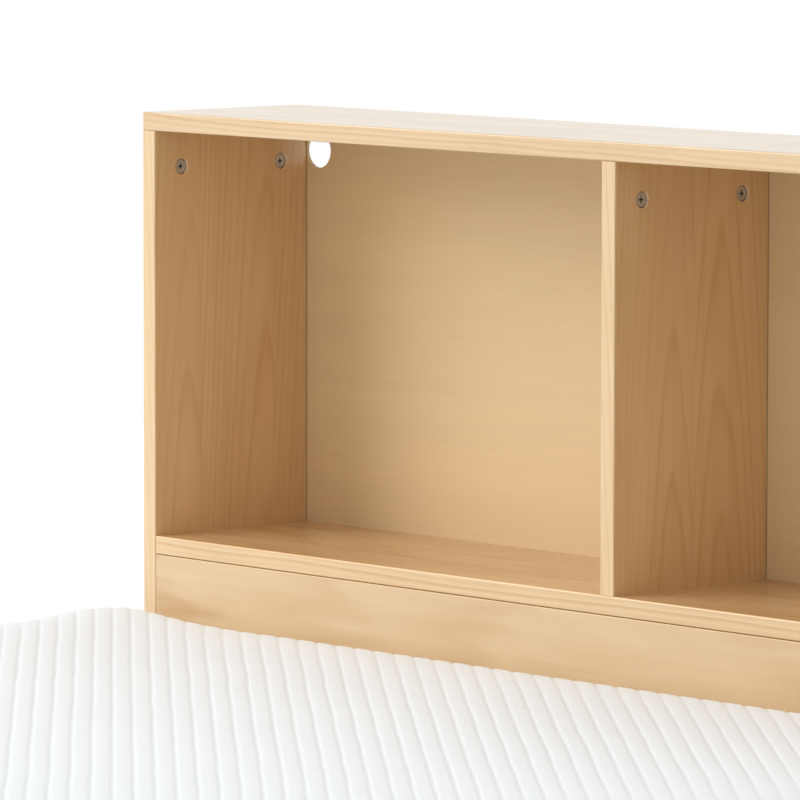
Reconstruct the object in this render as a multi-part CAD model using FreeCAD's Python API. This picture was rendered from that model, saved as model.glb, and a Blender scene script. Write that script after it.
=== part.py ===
import FreeCAD, Part
import math
import os

from FreeCAD import Placement, Rotation, Vector

# Bookcase headboard bed with its mattress.
#
# The origin is on the floor, in the middle of the whole bed. +X is to the right of a person
# who looks at the headboard from the foot, +Y is towards the head and +Z is up. Millimetres.

# ---------------------------------------------------------------- driving sizes

# Boards of the bookcase
BOARD = 18.0  # thickness of every pine board in the bookcase
EDGE_ROUND = 1.5  # rounding sanded on the edges that show
BACK_PLY = 3.0  # thickness of the plywood back
REBATE = 9.0  # how far the plywood laps onto the sides and the top

# Bookcase
CASE_INSET = 34.0  # the bookcase's sides stand this far inside the mattress's sides
CUBBY_HEIGHT = 398.0  # clear height of a cubby
CASE_DEPTH = 202.0  # front edges to the back of the plywood
CASE_HEIGHT = 1000.0  # floor to the upper face of the top board
BACK_STRETCHER_HEIGHT = 90.0  # upright board under the back of the shelf
LOW_STRETCHER_HEIGHT = 90.0  # board that ties the two sides near the floor
LOW_STRETCHER_LIFT = 60.0  # floor to its lower edge

# Cable holes in the plywood back, one beside each side panel
CABLE_HOLE_DIAMETER = 35.0
CABLE_HOLE_FROM_SIDE = 18.5  # hole's centre from the side panel's inner face
CABLE_HOLE_BELOW_TOP = 26.0  # hole's centre below the top board

# Cam locks that pull the top board down onto the sides and the divider
CAM_DIAMETER = 15.0
CAM_BORE_DEPTH = 13.5
CAM_CLEARANCE = 0.25  # on the radius
CAM_RECESS = 1.2  # the cam's face lies this far below the panel's face
CAM_BELOW_TOP = 36.0  # cam's centre below the top board
CAM_FROM_FRONT = 34.3  # centre of the front cam
CAM_SPACING = 130.4  # front cam to rear cam
CAM_SLOT_WIDTH = 4.8  # slot that the bolt's neck enters by
CAM_POCKET_DIAMETER = 8.0  # pocket that holds the bolt's head
CAM_CORE_RADIUS = 1.4  # what the pocket leaves at the cam's own axis
CAM_POCKET_REACH = 5.6  # radius that the pocket reaches to
CAM_SLOT_SWEEP = 150.0  # degrees of the cam's side that the slot opens
CAM_CROSS = 6.0  # width of its screwdriver cross
CAM_CROSS_DEPTH = 2.2
CAM_BOLT_BORE_DIAMETER = 8.0
CAM_BOLT_DIAMETER = 6.0
CAM_BOLT_NECK = 4.0  # diameter
CAM_BOLT_HEAD = 7.0  # diameter
CAM_BOLT_HEAD_THICK = 1.8
CAM_BOLT_HEAD_PLAY = 0.3  # head to the cam's core
CAM_BOLT_NECK_LENGTH = 6.0
CAM_BOLT_THREAD = 11.0  # length screwed into the top board

# Wooden dowels, all alike
DOWEL_DIAMETER = 8.0
DOWEL_LENGTH = 30.0
DOWEL_IN_FACE = 10.0  # length that enters the face of a board
DOWEL_END_SPACE = 1.0  # glue space past each end
CAM_DOWEL_COUNT = 2  # between the two cams of an upright
SHELF_DOWEL_COUNT = 4  # along the front panel, and along the shelf stretcher
SHELF_DOWEL_INSET = 110.0  # first and last of those from the side panels
STRETCHER_DOWEL_INSET = 18.0  # from a stretcher's upper and lower edges

# Connector bolts through the side panels, with their cross dowels
SIDE_BOLT_DIAMETER = 6.0
SIDE_BOLT_LENGTH = 50.0
SIDE_BOLT_HEAD = 13.0
SIDE_BOLT_HEAD_THICK = 2.5
SIDE_NUT_DIAMETER = 10.0
SIDE_NUT_LENGTH = 13.0
SIDE_NUT_FROM_EDGE = 24.0  # nut's centre from the end of the board it lies in
SHELF_BOLT_INSET = 45.0  # from the shelf's front and back edges
PANEL_BOLT_INSET = 40.0  # from the front panel's upper and lower edges
PANEL_BOLT_COUNT = 3

# Mattress
MATTRESS_WIDTH = 1372.0
MATTRESS_LENGTH = 1905.0
MATTRESS_HEIGHT = 200.0
MATTRESS_SIDE_GAP = 6.0  # to each side rail
MATTRESS_HEAD_GAP = 5.0  # to the headboard
MATTRESS_FOOT_GAP = 5.0  # to the foot rail
MATTRESS_REST_GAP = 0.3  # above the slats
MATTRESS_CORNER = 70.0  # radius of its corners seen from above
MATTRESS_DRAW_IN = 4.0  # how far each side pulls in between two corners
MATTRESS_TOP_ROUND = 32.0
MATTRESS_BOTTOM_ROUND = 14.0
MATTRESS_CROWN = 8.0  # height lost from the middle to the farthest corners
MATTRESS_TRIM = 1.0  # cut off above the crests, so that no channel only grazes the round edge
CHANNEL_PITCH = 17.5  # seam to seam
CHANNEL_RISE = 2.2  # a channel's crest above its seams
CHANNEL_ANGLE = 49.8  # degrees from -Y towards +X

# Bed frame
PLATFORM_HEIGHT = 310.0  # floor to the upper faces of the slats
RAIL_THICK = 22.0
RAIL_HEIGHT = 160.0
RAIL_LIP = 35.0  # the rails stand this far above the slats
RAIL_ROUND = 3.0
LEG = 57.0  # square section of the four corner legs
LEG_ROUND = 2.5
CENTRE_LEG = 50.0  # square section of the legs under the centre beam
CENTRE_LEG_COUNT = 2
BEAM_WIDTH = 35.0
BEAM_HEIGHT = 90.0
CLEAT_WIDTH = 30.0
CLEAT_HEIGHT = 40.0
SLAT_THICK = 18.0
SLAT_WIDTH = 70.0
SLAT_COUNT = 14
SLAT_END_SPACE = 8.0  # first and last slat to the foot rail and the headboard
SLAT_SIDE_SPACE = 2.0  # slat end to side rail
SLAT_ROUND = 2.0

# Steel hangers that carry the centre beam
HANGER_STEEL = 2.5
HANGER_CHEEK = 40.0  # length of the seat along the beam
HANGER_CHEEK_HEIGHT = 45.0
HANGER_PLATE_HEIGHT = 75.0  # plate above the seat
HANGER_WING = 28.0  # plate beside each cheek
HANGER_SCREW_INSET = 14.0  # screws from the plate's edges
HANGER_CLEARANCE = 0.3

# Frame bolts, their cross dowels, nuts and washers
FRAME_BOLT_DIAMETER = 8.0
FRAME_BOLT_LENGTH = 60.0
FRAME_BOLT_HEAD = 18.0
FRAME_BOLT_HEAD_THICK = 3.0
FRAME_NUT_DIAMETER = 12.0
FRAME_NUT_LENGTH = 24.0
FRAME_NUT_DEPTH = 30.0  # nut's centre below the leg's outer face
FRAME_BOLT_EDGE = 22.0  # outer bolts of a joint from the ends of the overlap
FRAME_BOLT_STEP = 20.0  # inner bolts of a joint from the outer ones
BOLT_CLEARANCE = 0.4  # on the radius, in wood
COUNTERBORE_CLEARANCE = 1.0  # on the radius
CASE_BOLT_LENGTH = 55.0
CASE_BOLT_INSET = 80.0  # outer case bolts from the side panels
CASE_BOLT_FROM_MIDDLE = 150.0  # inner case bolts from the middle
WASHER_DIAMETER = 22.0
WASHER_THICK = 1.6
HEX_NUT_WIDTH = 13.0  # across flats
HEX_NUT_THICK = 6.5
BOLT_DRIVE = 5.0  # hexagon socket across flats
BOLT_DRIVE_DEPTH = 2.0
BOLT_CHAMFER = 1.0

# Wood screws: diameter, head diameter, head height, length
SLAT_SCREW = (4.0, 8.0, 2.4, 35.0)
CLEAT_SCREW = (5.0, 9.5, 2.8, 45.0)
HANGER_SCREW = (4.5, 8.5, 2.5, 20.0)
BACK_SCREW = (3.0, 6.0, 1.6, 16.0)
DIVIDER_SCREW = (5.0, 9.5, 2.8, 50.0)
SCREW_TIP = 4.0
SCREW_CROSS = 0.6  # width of the cross, as a share of the head
SCREW_CROSS_DEPTH = 0.8  # as a share of the head's height
CROSS_ARM_RATIO = 4.0  # a screwdriver cross is this many times as wide as its slots
CLEAT_SCREW_COUNT = 7
CLEAT_SCREW_FROM_BOTTOM = 11.0
BACK_SCREW_PITCH = 210.0  # widest spacing round the plywood
BACK_SCREW_FROM_EDGE = 4.5
DIVIDER_SCREW_INSET = 45.0

# Studs that hold the centre legs to the beam
STUD_DIAMETER = 8.0
STUD_LENGTH = 70.0

# Plastic glides with a steel nail
GLIDE_THICK = 4.0
GLIDE_CHAMFER = 1.0
LEG_GLIDE_DIAMETER = 40.0
CASE_GLIDE_DIAMETER = 15.0
CASE_GLIDE_INSET = 30.0  # from the front and the back of a side panel
NAIL_DIAMETER = 2.4
NAIL_LENGTH = 18.0
NAIL_HEAD_DIAMETER = 5.0
NAIL_HEAD_THICK = 1.0
NAIL_SINK = 1.0  # the nail's head lies this far above the floor

TINY = 1e-4
DRILL_PAST = 5.0  # a drill that goes right through runs this far past the face

# ---------------------------------------------------------------- derived places

RIGHT, BACKWARD, UP = Vector(1, 0, 0), Vector(0, 1, 0), Vector(0, 0, 1)
LEFT, FORWARD, DOWN = -RIGHT, -BACKWARD, -UP
SIDES = (("left", -1), ("right", 1))

case_outer = MATTRESS_WIDTH / 2 - CASE_INSET
case_inner = case_outer - BOARD
rail_inner = MATTRESS_WIDTH / 2 + MATTRESS_SIDE_GAP
rail_outer = rail_inner + RAIL_THICK
inner_length = MATTRESS_HEAD_GAP + MATTRESS_LENGTH + MATTRESS_FOOT_GAP

total_length = CASE_DEPTH + inner_length + RAIL_THICK
back_y = total_length / 2
front_y = back_y - CASE_DEPTH  # plane of the bookcase's front edges
board_back_y = back_y - BACK_PLY
foot_outer_y = -total_length / 2
foot_inner_y = foot_outer_y + RAIL_THICK
head_rail_y = front_y - RAIL_THICK  # face of the head rail towards the foot

top_under = CASE_HEIGHT - BOARD
shelf_top = top_under - CUBBY_HEIGHT
shelf_under = shelf_top - BOARD
slat_under = PLATFORM_HEIGHT - SLAT_THICK
rail_top = PLATFORM_HEIGHT + RAIL_LIP
rail_bottom = rail_top - RAIL_HEIGHT
beam_bottom = slat_under - BEAM_HEIGHT
stretcher_front_y = board_back_y - BOARD
ply_bottom = shelf_under - BACK_STRETCHER_HEIGHT
low_stretcher_top = LOW_STRETCHER_LIFT + LOW_STRETCHER_HEIGHT

cam_z = top_under - CAM_BELOW_TOP
cam_ys = (front_y + CAM_FROM_FRONT, front_y + CAM_FROM_FRONT + CAM_SPACING)
side_middle = case_inner + BOARD / 2  # middle of a side panel's thickness
leg_middle_x = rail_inner - LEG / 2
leg_ys = (("head", head_rail_y - LEG / 2), ("foot", foot_inner_y + LEG / 2))

between_sides = (-case_inner, case_inner)
ply_width = (-case_inner - REBATE, case_inner + REBATE)
ply_groove_y = (board_back_y, back_y + DRILL_PAST)
panel_y = front_y + BOARD / 2  # middle of the front panel's thickness
stretcher_y = stretcher_front_y + BOARD / 2
stretchers = (  # board, its lower edge, its upper edge
    ("shelf_stretcher", ply_bottom, shelf_under),
    ("low_stretcher", LOW_STRETCHER_LIFT, low_stretcher_top),
)
shelf_z = shelf_under + BOARD / 2
uprights = (  # board, middle of its thickness, the way its cams face
    ("side_panel_left", -side_middle, RIGHT),
    ("divider", 0.0, RIGHT),
    ("side_panel_right", side_middle, LEFT),
)

hanger_space = HANGER_STEEL + HANGER_CLEARANCE
beam_ends = (foot_inner_y + hanger_space, head_rail_y - hanger_space)

PIECES = {}  # node name: list of its solids


# ---------------------------------------------------------------- helpers


def keep(name, *shapes):
    """Files solids under their node's name."""
    PIECES.setdefault(name, []).extend(solid for shape in shapes for solid in shape.Solids)


def block(x, y, z):
    """A box from its low and high coordinate along each axis."""
    return Part.makeBox(x[1] - x[0], y[1] - y[0], z[1] - z[0], Vector(x[0], y[0], z[0]))


def edges(shape, along, **at):
    """The straight edges along one axis that lie at the coordinates given."""
    found = []
    for edge in shape.Edges:
        box = edge.BoundBox
        span = {"x": box.XLength, "y": box.YLength, "z": box.ZLength}
        middle = {"x": box.Center.x, "y": box.Center.y, "z": box.Center.z}
        straight = all(span[axis] < TINY for axis in "xyz" if axis != along)
        if straight and all(abs(middle[axis] - value) < TINY for axis, value in at.items()):
            found.append(edge)
    return found


def rod(diameter, length, start, direction):
    """A round bar from its start point along a direction."""
    return Part.makeCylinder(diameter / 2, length, start, direction)


def lathe(points):
    """A turned solid about Z from (radius, height) points, closed at both ends on the axis."""
    outline = [Vector(0, 0, points[0][1])]
    outline += [Vector(radius, 0, height) for radius, height in points]
    outline += [Vector(0, 0, points[-1][1]), outline[0]]
    loop = [p for p, q in zip(outline, outline[1:]) if p.distanceToPoint(q) > TINY]
    face = Part.Face(Part.makePolygon(loop + loop[:1]))
    return face.revolve(Vector(0, 0, 0), UP, 360)


def aim(shape, point, direction):
    """Moves a shape made at the origin along +Z to a point and a direction."""
    placed = shape.copy()
    placed.Placement = Placement(point, Rotation(UP, direction))
    return placed


def hexagon(across_flats, thick):
    """A hexagonal prism about Z, standing on the origin."""
    corner = across_flats / 2 / math.cos(math.pi / 6)
    turns = [math.pi / 3 * i for i in range(7)]
    ring = [Vector(corner * math.cos(a), corner * math.sin(a), 0) for a in turns]
    return Part.Face(Part.makePolygon(ring)).extrude(UP * thick)


def cross_recess(diameter, depth):
    """The two crossed slots of a screwdriver recess, sunk from the origin."""
    arm, half = diameter / 2, diameter / 2 / CROSS_ARM_RATIO
    long_slot = block((-arm, arm), (-half, half), (-depth, depth))
    return long_slot.fuse(block((-half, half), (-arm, arm), (-depth, depth)))


def drill(name, *cutters):
    """Cuts holes in every solid of a node."""
    PIECES[name] = [s for solid in PIECES[name] for s in solid.cut(list(cutters)).Solids]


def spread(start, end, count):
    """Evenly spaced places with one at each end."""
    return [start + (end - start) * i / (count - 1) for i in range(count)]


def between(start, end, count):
    """Evenly spaced places with none at the ends."""
    return [start + (end - start) * (i + 1) / (count + 1) for i in range(count)]


# ---------------------------------------------------------------- fasteners


def screw_plug(screw):
    """The outer shape of a countersunk screw, with its head at the origin and its tip at -Z."""
    diameter, head, head_height, length = screw
    shoulder = [(head / 2, 0), (diameter / 2, -head_height)]
    return lathe(shoulder + [(diameter / 2, SCREW_TIP - length), (0, -length)])


def drive_screws(name, screw, places, direction, boards):
    """Drives screws whose heads lie at the places and whose tips point along the direction."""
    diameter, head, head_height, length = screw
    plug = screw_plug(screw)
    finished = plug.cut(cross_recess(head * SCREW_CROSS, head_height * SCREW_CROSS_DEPTH))
    holes = [aim(plug, place, -direction) for place in places]
    keep(name, *[aim(finished, place, -direction) for place in places])
    for board in boards:
        drill(board, *holes)


def bolt_solid(diameter, head, head_thick, length):
    """A bolt with a flat hexagon-socket head above the origin and its shank along -Z."""
    rim, shank = head / 2, diameter / 2
    cap = [(rim - BOLT_CHAMFER, head_thick), (rim, head_thick - BOLT_CHAMFER), (rim, 0)]
    tip = [(shank, BOLT_CHAMFER - length), (shank - BOLT_CHAMFER, -length)]
    bolt = lathe(cap + [(shank, 0)] + tip)
    socket = hexagon(BOLT_DRIVE, BOLT_DRIVE_DEPTH + DRILL_PAST)
    socket.translate(UP * (head_thick - BOLT_DRIVE_DEPTH))
    return bolt.cut(socket)


def add_dowels(places, direction, face_board, end_board):
    """Dowels that enter a board's face by a short length and another board's end by the rest."""
    for place in places:
        start = place + direction * DOWEL_IN_FACE
        keep("dowels", rod(DOWEL_DIAMETER, DOWEL_LENGTH, start, -direction))
        bore_start = start + direction * DOWEL_END_SPACE
        bore = rod(DOWEL_DIAMETER, DOWEL_LENGTH + 2 * DOWEL_END_SPACE, bore_start, -direction)
        drill(face_board, bore)
        drill(end_board, bore)


# ---------------------------------------------------------------- bookcase


def make_top_board():
    """The top board, which covers the sides and has a groove for the plywood at its back."""
    board = block((-case_outer, case_outer), (front_y, back_y), (top_under, CASE_HEIGHT))
    rounded = edges(board, "x", z=CASE_HEIGHT) + edges(board, "x", y=front_y, z=top_under)
    for side, sign in SIDES:
        rounded += edges(board, "y", x=sign * case_outer)
        rounded += edges(board, "z", x=sign * case_outer)
    board = board.makeFillet(EDGE_ROUND, rounded)
    groove_z = (top_under - DRILL_PAST, top_under + REBATE)
    keep("top_board", board.cut(block(ply_width, ply_groove_y, groove_z)))


def make_side_panels():
    """The two sides, from the glides up to the top board, rebated for the plywood."""
    for side, sign in SIDES:
        across = sorted((sign * case_inner, sign * case_outer))
        panel = block(across, (front_y, back_y), (GLIDE_THICK, top_under))
        rounded = edges(panel, "z", y=front_y) + edges(panel, "z", x=sign * case_outer, y=back_y)
        panel = panel.makeFillet(EDGE_ROUND, rounded)
        groove = sorted((sign * (case_inner - DRILL_PAST), sign * (case_inner + REBATE)))
        keep(f"side_panel_{side}", panel.cut(block(groove, ply_groove_y, (ply_bottom, CASE_HEIGHT))))


def make_inner_boards():
    """The divider, the shelf, the front panel and the two stretchers."""
    board_depth = (front_y, board_back_y)
    stretcher_depth = (stretcher_front_y, board_back_y)

    divider = block((-BOARD / 2, BOARD / 2), board_depth, (shelf_top, top_under))
    keep("divider", divider.makeFillet(EDGE_ROUND, edges(divider, "z", y=front_y)))

    shelf = block(between_sides, board_depth, (shelf_under, shelf_top))
    rounded = edges(shelf, "x", y=front_y) + edges(shelf, "z", y=front_y)
    keep("shelf", shelf.makeFillet(EDGE_ROUND, rounded))

    panel = block(between_sides, (front_y, front_y + BOARD), (rail_bottom, shelf_under))
    rounded = edges(panel, "x", y=front_y) + edges(panel, "z", y=front_y)
    keep("front_panel", panel.makeFillet(EDGE_ROUND, rounded))

    keep("shelf_stretcher", block(between_sides, stretcher_depth, (ply_bottom, shelf_under)))

    low = block(between_sides, stretcher_depth, (LOW_STRETCHER_LIFT, low_stretcher_top))
    keep("low_stretcher", low.makeFillet(EDGE_ROUND, edges(low, "x")))


def make_back_panel():
    """The plywood back of both cubbies, with a cable hole beside each side panel."""
    ply = block(ply_width, (board_back_y, back_y), (ply_bottom, top_under + REBATE))
    holes = []
    for side, sign in SIDES:
        x = sign * (case_inner - CABLE_HOLE_FROM_SIDE)
        start = Vector(x, board_back_y - DRILL_PAST, top_under - CABLE_HOLE_BELOW_TOP)
        holes.append(rod(CABLE_HOLE_DIAMETER, BACK_PLY + 2 * DRILL_PAST, start, BACKWARD))
    keep("back_panel", ply.cut(holes))


def cam_solid():
    """A cam lock with its face at the origin, its body along -Z and its slot open to +X."""
    length = CAM_BORE_DEPTH - CAM_RECESS
    drum = rod(CAM_DIAMETER, length, Vector(0, 0, -length), UP)
    bolt_depth = BOARD / 2 - CAM_RECESS
    slot = (CAM_DIAMETER, CAM_SLOT_WIDTH)
    pocket = (CAM_POCKET_REACH, CAM_POCKET_DIAMETER)
    for reach, width in (slot, pocket):
        low, high = -bolt_depth - width / 2, -bolt_depth + width / 2
        corners = [(CAM_CORE_RADIUS, low), (reach, low), (reach, high), (CAM_CORE_RADIUS, high)]
        loop = [Vector(x, 0, z) for x, z in corners + corners[:1]]
        strip = Part.Face(Part.makePolygon(loop))
        strip.rotate(Vector(0, 0, 0), UP, -CAM_SLOT_SWEEP / 2)
        drum = drum.cut(strip.revolve(Vector(0, 0, 0), UP, CAM_SLOT_SWEEP))
    return drum.cut(cross_recess(CAM_CROSS, CAM_CROSS_DEPTH))


def cam_bolt_solid():
    """The bolt that a cam pulls on: thread above the origin, shank, neck and head below it."""
    shank, neck, head = CAM_BOLT_DIAMETER / 2, CAM_BOLT_NECK / 2, CAM_BOLT_HEAD / 2
    taper = shank - neck
    head_low = CAM_CORE_RADIUS + CAM_BOLT_HEAD_PLAY - CAM_BELOW_TOP
    head_high = head_low + CAM_BOLT_HEAD_THICK
    neck_high = head_high + CAM_BOLT_NECK_LENGTH
    thread = [(shank - taper, CAM_BOLT_THREAD), (shank, CAM_BOLT_THREAD - taper)]
    waist = [(shank, neck_high), (neck, neck_high - taper), (neck, head_high)]
    return lathe(thread + waist + [(head, head_high), (head, head_low)])


def add_cams():
    """Two cam locks at the top of each upright, and the bolts that they pull down."""
    cam, bolt = cam_solid(), cam_bolt_solid()
    for board, middle, facing in uprights:
        for y in cam_ys:
            mouth = Vector(middle + facing.x * BOARD / 2, y, cam_z)
            bolt_place = Vector(middle, y, top_under)
            placed = cam.copy()
            turn = Rotation(UP, facing.cross(UP), facing, "ZXY")
            placed.Placement = Placement(mouth - facing * CAM_RECESS, turn)
            keep("cam_locks", placed)
            keep("cam_bolts", aim(bolt, bolt_place, UP))
            cam_bore = rod(CAM_DIAMETER + 2 * CAM_CLEARANCE, CAM_BORE_DEPTH, mouth, -facing)
            bolt_bore = rod(CAM_BOLT_BORE_DIAMETER, CAM_BELOW_TOP, bolt_place, DOWN)
            drill(board, cam_bore, bolt_bore)
            drill("top_board", rod(CAM_BOLT_DIAMETER, CAM_BOLT_THREAD, bolt_place, UP))


def panel_bolt_zs():
    """Heights of the connector bolts at each end of the front panel."""
    low, high = rail_bottom + PANEL_BOLT_INSET, shelf_under - PANEL_BOLT_INSET
    return spread(low, high, PANEL_BOLT_COUNT)


def add_side_bolts():
    """Connector bolts that pull the shelf, the front panel and the stretchers to the sides."""
    shelf_ys = (front_y + SHELF_BOLT_INSET, board_back_y - SHELF_BOLT_INSET)
    joints = [("shelf", y, shelf_z, DOWN) for y in shelf_ys]
    joints += [("front_panel", panel_y, z, BACKWARD) for z in panel_bolt_zs()]
    for stretcher, low, high in stretchers:
        joints.append((stretcher, stretcher_y, (low + high) / 2, FORWARD))
    bolt = bolt_solid(SIDE_BOLT_DIAMETER, SIDE_BOLT_HEAD, SIDE_BOLT_HEAD_THICK, SIDE_BOLT_LENGTH)
    for side, sign in SIDES:
        outward = RIGHT * sign
        for board, y, z, nut_mouth in joints:
            seat = Vector(sign * case_outer, y, z)
            nut_middle = Vector(sign * (case_inner - SIDE_NUT_FROM_EDGE), y, z)
            nut_start = nut_middle - nut_mouth * (SIDE_NUT_LENGTH / 2)
            shank = rod(SIDE_BOLT_DIAMETER, SIDE_BOLT_LENGTH, seat, -outward)
            nut = rod(SIDE_NUT_DIAMETER, SIDE_NUT_LENGTH, nut_start, nut_mouth)
            keep("side_bolts", aim(bolt, seat, outward))
            keep("side_nuts", nut.cut(shank))
            bore_width = SIDE_BOLT_DIAMETER + 2 * BOLT_CLEARANCE
            bore = rod(bore_width, SIDE_BOLT_LENGTH + BOLT_CLEARANCE, seat, -outward)
            nut_bore = rod(SIDE_NUT_DIAMETER, SIDE_NUT_LENGTH / 2 + BOARD, nut_start, nut_mouth)
            drill(f"side_panel_{side}", bore)
            drill(board, bore, nut_bore)


def add_case_dowels():
    """Dowels between the cams, at the ends of the boards and along the shelf."""
    for board, middle, facing in uprights:
        places = [Vector(middle, y, top_under) for y in between(cam_ys[0], cam_ys[1], CAM_DOWEL_COUNT)]
        add_dowels(places, UP, "top_board", board)

    bolt_zs = panel_bolt_zs()
    ends = [("shelf", (front_y + board_back_y) / 2, shelf_z)]
    ends += [("front_panel", panel_y, (low + high) / 2) for low, high in zip(bolt_zs, bolt_zs[1:])]
    for stretcher, low, high in stretchers:
        ends += [(stretcher, stretcher_y, low + STRETCHER_DOWEL_INSET)]
        ends += [(stretcher, stretcher_y, high - STRETCHER_DOWEL_INSET)]
    for side, sign in SIDES:
        for board, y, z in ends:
            add_dowels([Vector(sign * case_inner, y, z)], RIGHT * sign, f"side_panel_{side}", board)

    reach = case_inner - SHELF_DOWEL_INSET
    for board, y in (("front_panel", panel_y), ("shelf_stretcher", stretcher_y)):
        places = [Vector(x, y, shelf_under) for x in spread(-reach, reach, SHELF_DOWEL_COUNT)]
        add_dowels(places, UP, "shelf", board)


def rim_screw_count(length):
    """How many screws a rim of the plywood takes between its two corners."""
    return math.ceil(length / BACK_SCREW_PITCH) - 1


def add_case_screws():
    """Screws up into the divider, and round the edges of the plywood back."""
    divider_ys = (front_y + DIVIDER_SCREW_INSET, board_back_y - DIVIDER_SCREW_INSET)
    places = [Vector(0, y, shelf_under) for y in divider_ys]
    drive_screws("divider_screws", DIVIDER_SCREW, places, UP, ("shelf", "divider"))

    edge_x = ply_width[1] - BACK_SCREW_FROM_EDGE
    edge_high = top_under + REBATE - BACK_SCREW_FROM_EDGE
    edge_low = ply_bottom + BACK_SCREW_FROM_EDGE
    in_column = rim_screw_count(edge_high - edge_low)
    column_zs = between(edge_low, edge_high, in_column)
    row_xs = between(-edge_x, edge_x, rim_screw_count(2 * edge_x))
    rims = [("side_panel_left", [(-edge_x, z) for z in column_zs])]
    rims += [("side_panel_right", [(edge_x, z) for z in column_zs])]
    rims += [("divider", [(0, z) for z in between(shelf_top, top_under, in_column)])]
    rims += [("top_board", [(x, edge_high) for x in row_xs])]
    rims += [("shelf_stretcher", [(x, edge_low) for x in row_xs])]
    for board, spots in rims:
        places = [Vector(x, back_y, z) for x, z in spots]
        drive_screws("back_screws", BACK_SCREW, places, FORWARD, (board, "back_panel"))


# ---------------------------------------------------------------- bed frame


def make_rails():
    """The two side rails, the foot rail that closes them and the head rail under the slats."""
    for side, sign in SIDES:
        across = sorted((sign * rail_inner, sign * rail_outer))
        rail = block(across, (foot_inner_y, front_y), (rail_bottom, rail_top))
        keep(f"side_rail_{side}", rail.makeFillet(RAIL_ROUND, edges(rail, "y")))

    foot = block((-rail_outer, rail_outer), (foot_outer_y, foot_inner_y), (rail_bottom, rail_top))
    rounded = edges(foot, "x") + edges(foot, "z", y=foot_outer_y)
    rounded += [edge for side, sign in SIDES for edge in edges(foot, "y", x=sign * rail_outer)]
    keep("foot_rail", foot.makeFillet(RAIL_ROUND, rounded))

    between_rails = (-rail_inner, rail_inner)
    head = block(between_rails, (head_rail_y, front_y), (rail_bottom, slat_under))
    keep("head_rail", head.makeFillet(RAIL_ROUND, edges(head, "x", z=rail_bottom)))


def make_legs():
    """Four square legs in the corners of the rails."""
    for end, middle_y in leg_ys:
        for side, sign in SIDES:
            middle_x = sign * leg_middle_x
            across = (middle_x - LEG / 2, middle_x + LEG / 2)
            along = (middle_y - LEG / 2, middle_y + LEG / 2)
            leg = block(across, along, (GLIDE_THICK, slat_under))
            keep(f"leg_{end}_{side}", leg.makeFillet(LEG_ROUND, edges(leg, "z")))


def add_leg_bolt(board, leg, seat, outward, nut_mouth):
    """A sunk bolt through a rail into the cross dowel in a leg."""
    bolt = bolt_solid(FRAME_BOLT_DIAMETER, FRAME_BOLT_HEAD, FRAME_BOLT_HEAD_THICK, FRAME_BOLT_LENGTH)
    nut_middle = seat - outward * (RAIL_THICK - FRAME_BOLT_HEAD_THICK + FRAME_NUT_DEPTH)
    nut_start = nut_middle - nut_mouth * (FRAME_NUT_LENGTH / 2)
    shank = rod(FRAME_BOLT_DIAMETER, FRAME_BOLT_LENGTH, seat, -outward)
    nut = rod(FRAME_NUT_DIAMETER, FRAME_NUT_LENGTH, nut_start, nut_mouth)
    keep("leg_bolts", aim(bolt, seat, outward))
    keep("leg_nuts", nut.cut(shank))
    bore_width = FRAME_BOLT_DIAMETER + 2 * BOLT_CLEARANCE
    bore = rod(bore_width, FRAME_BOLT_LENGTH + BOLT_CLEARANCE, seat, -outward)
    sink_width = FRAME_BOLT_HEAD + 2 * COUNTERBORE_CLEARANCE
    sink = rod(sink_width, FRAME_BOLT_HEAD_THICK + DRILL_PAST, seat, outward)
    drill(board, bore, sink)
    drill(leg, bore, rod(FRAME_NUT_DIAMETER, FRAME_NUT_LENGTH / 2 + LEG, nut_start, nut_mouth))


def add_leg_bolts():
    """Two bolts from the side rail and two from the end rail into each leg."""
    low, high = rail_bottom + FRAME_BOLT_EDGE, slat_under - FRAME_BOLT_EDGE
    side_zs = (low, high)
    end_zs = (low + FRAME_BOLT_STEP, high - FRAME_BOLT_STEP)
    for end, middle_y in leg_ys:
        outward_y, end_board, end_face = {
            "head": (BACKWARD, "head_rail", front_y),
            "foot": (FORWARD, "foot_rail", foot_outer_y),
        }[end]
        for side, sign in SIDES:
            leg, outward_x = f"leg_{end}_{side}", RIGHT * sign
            for z in side_zs:
                face = Vector(sign * rail_outer, middle_y, z)
                seat = face - outward_x * FRAME_BOLT_HEAD_THICK
                add_leg_bolt(f"side_rail_{side}", leg, seat, outward_x, -outward_y)
            for z in end_zs:
                face = Vector(sign * leg_middle_x, end_face, z)
                seat = face - outward_y * FRAME_BOLT_HEAD_THICK
                add_leg_bolt(end_board, leg, seat, outward_y, -outward_x)


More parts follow.
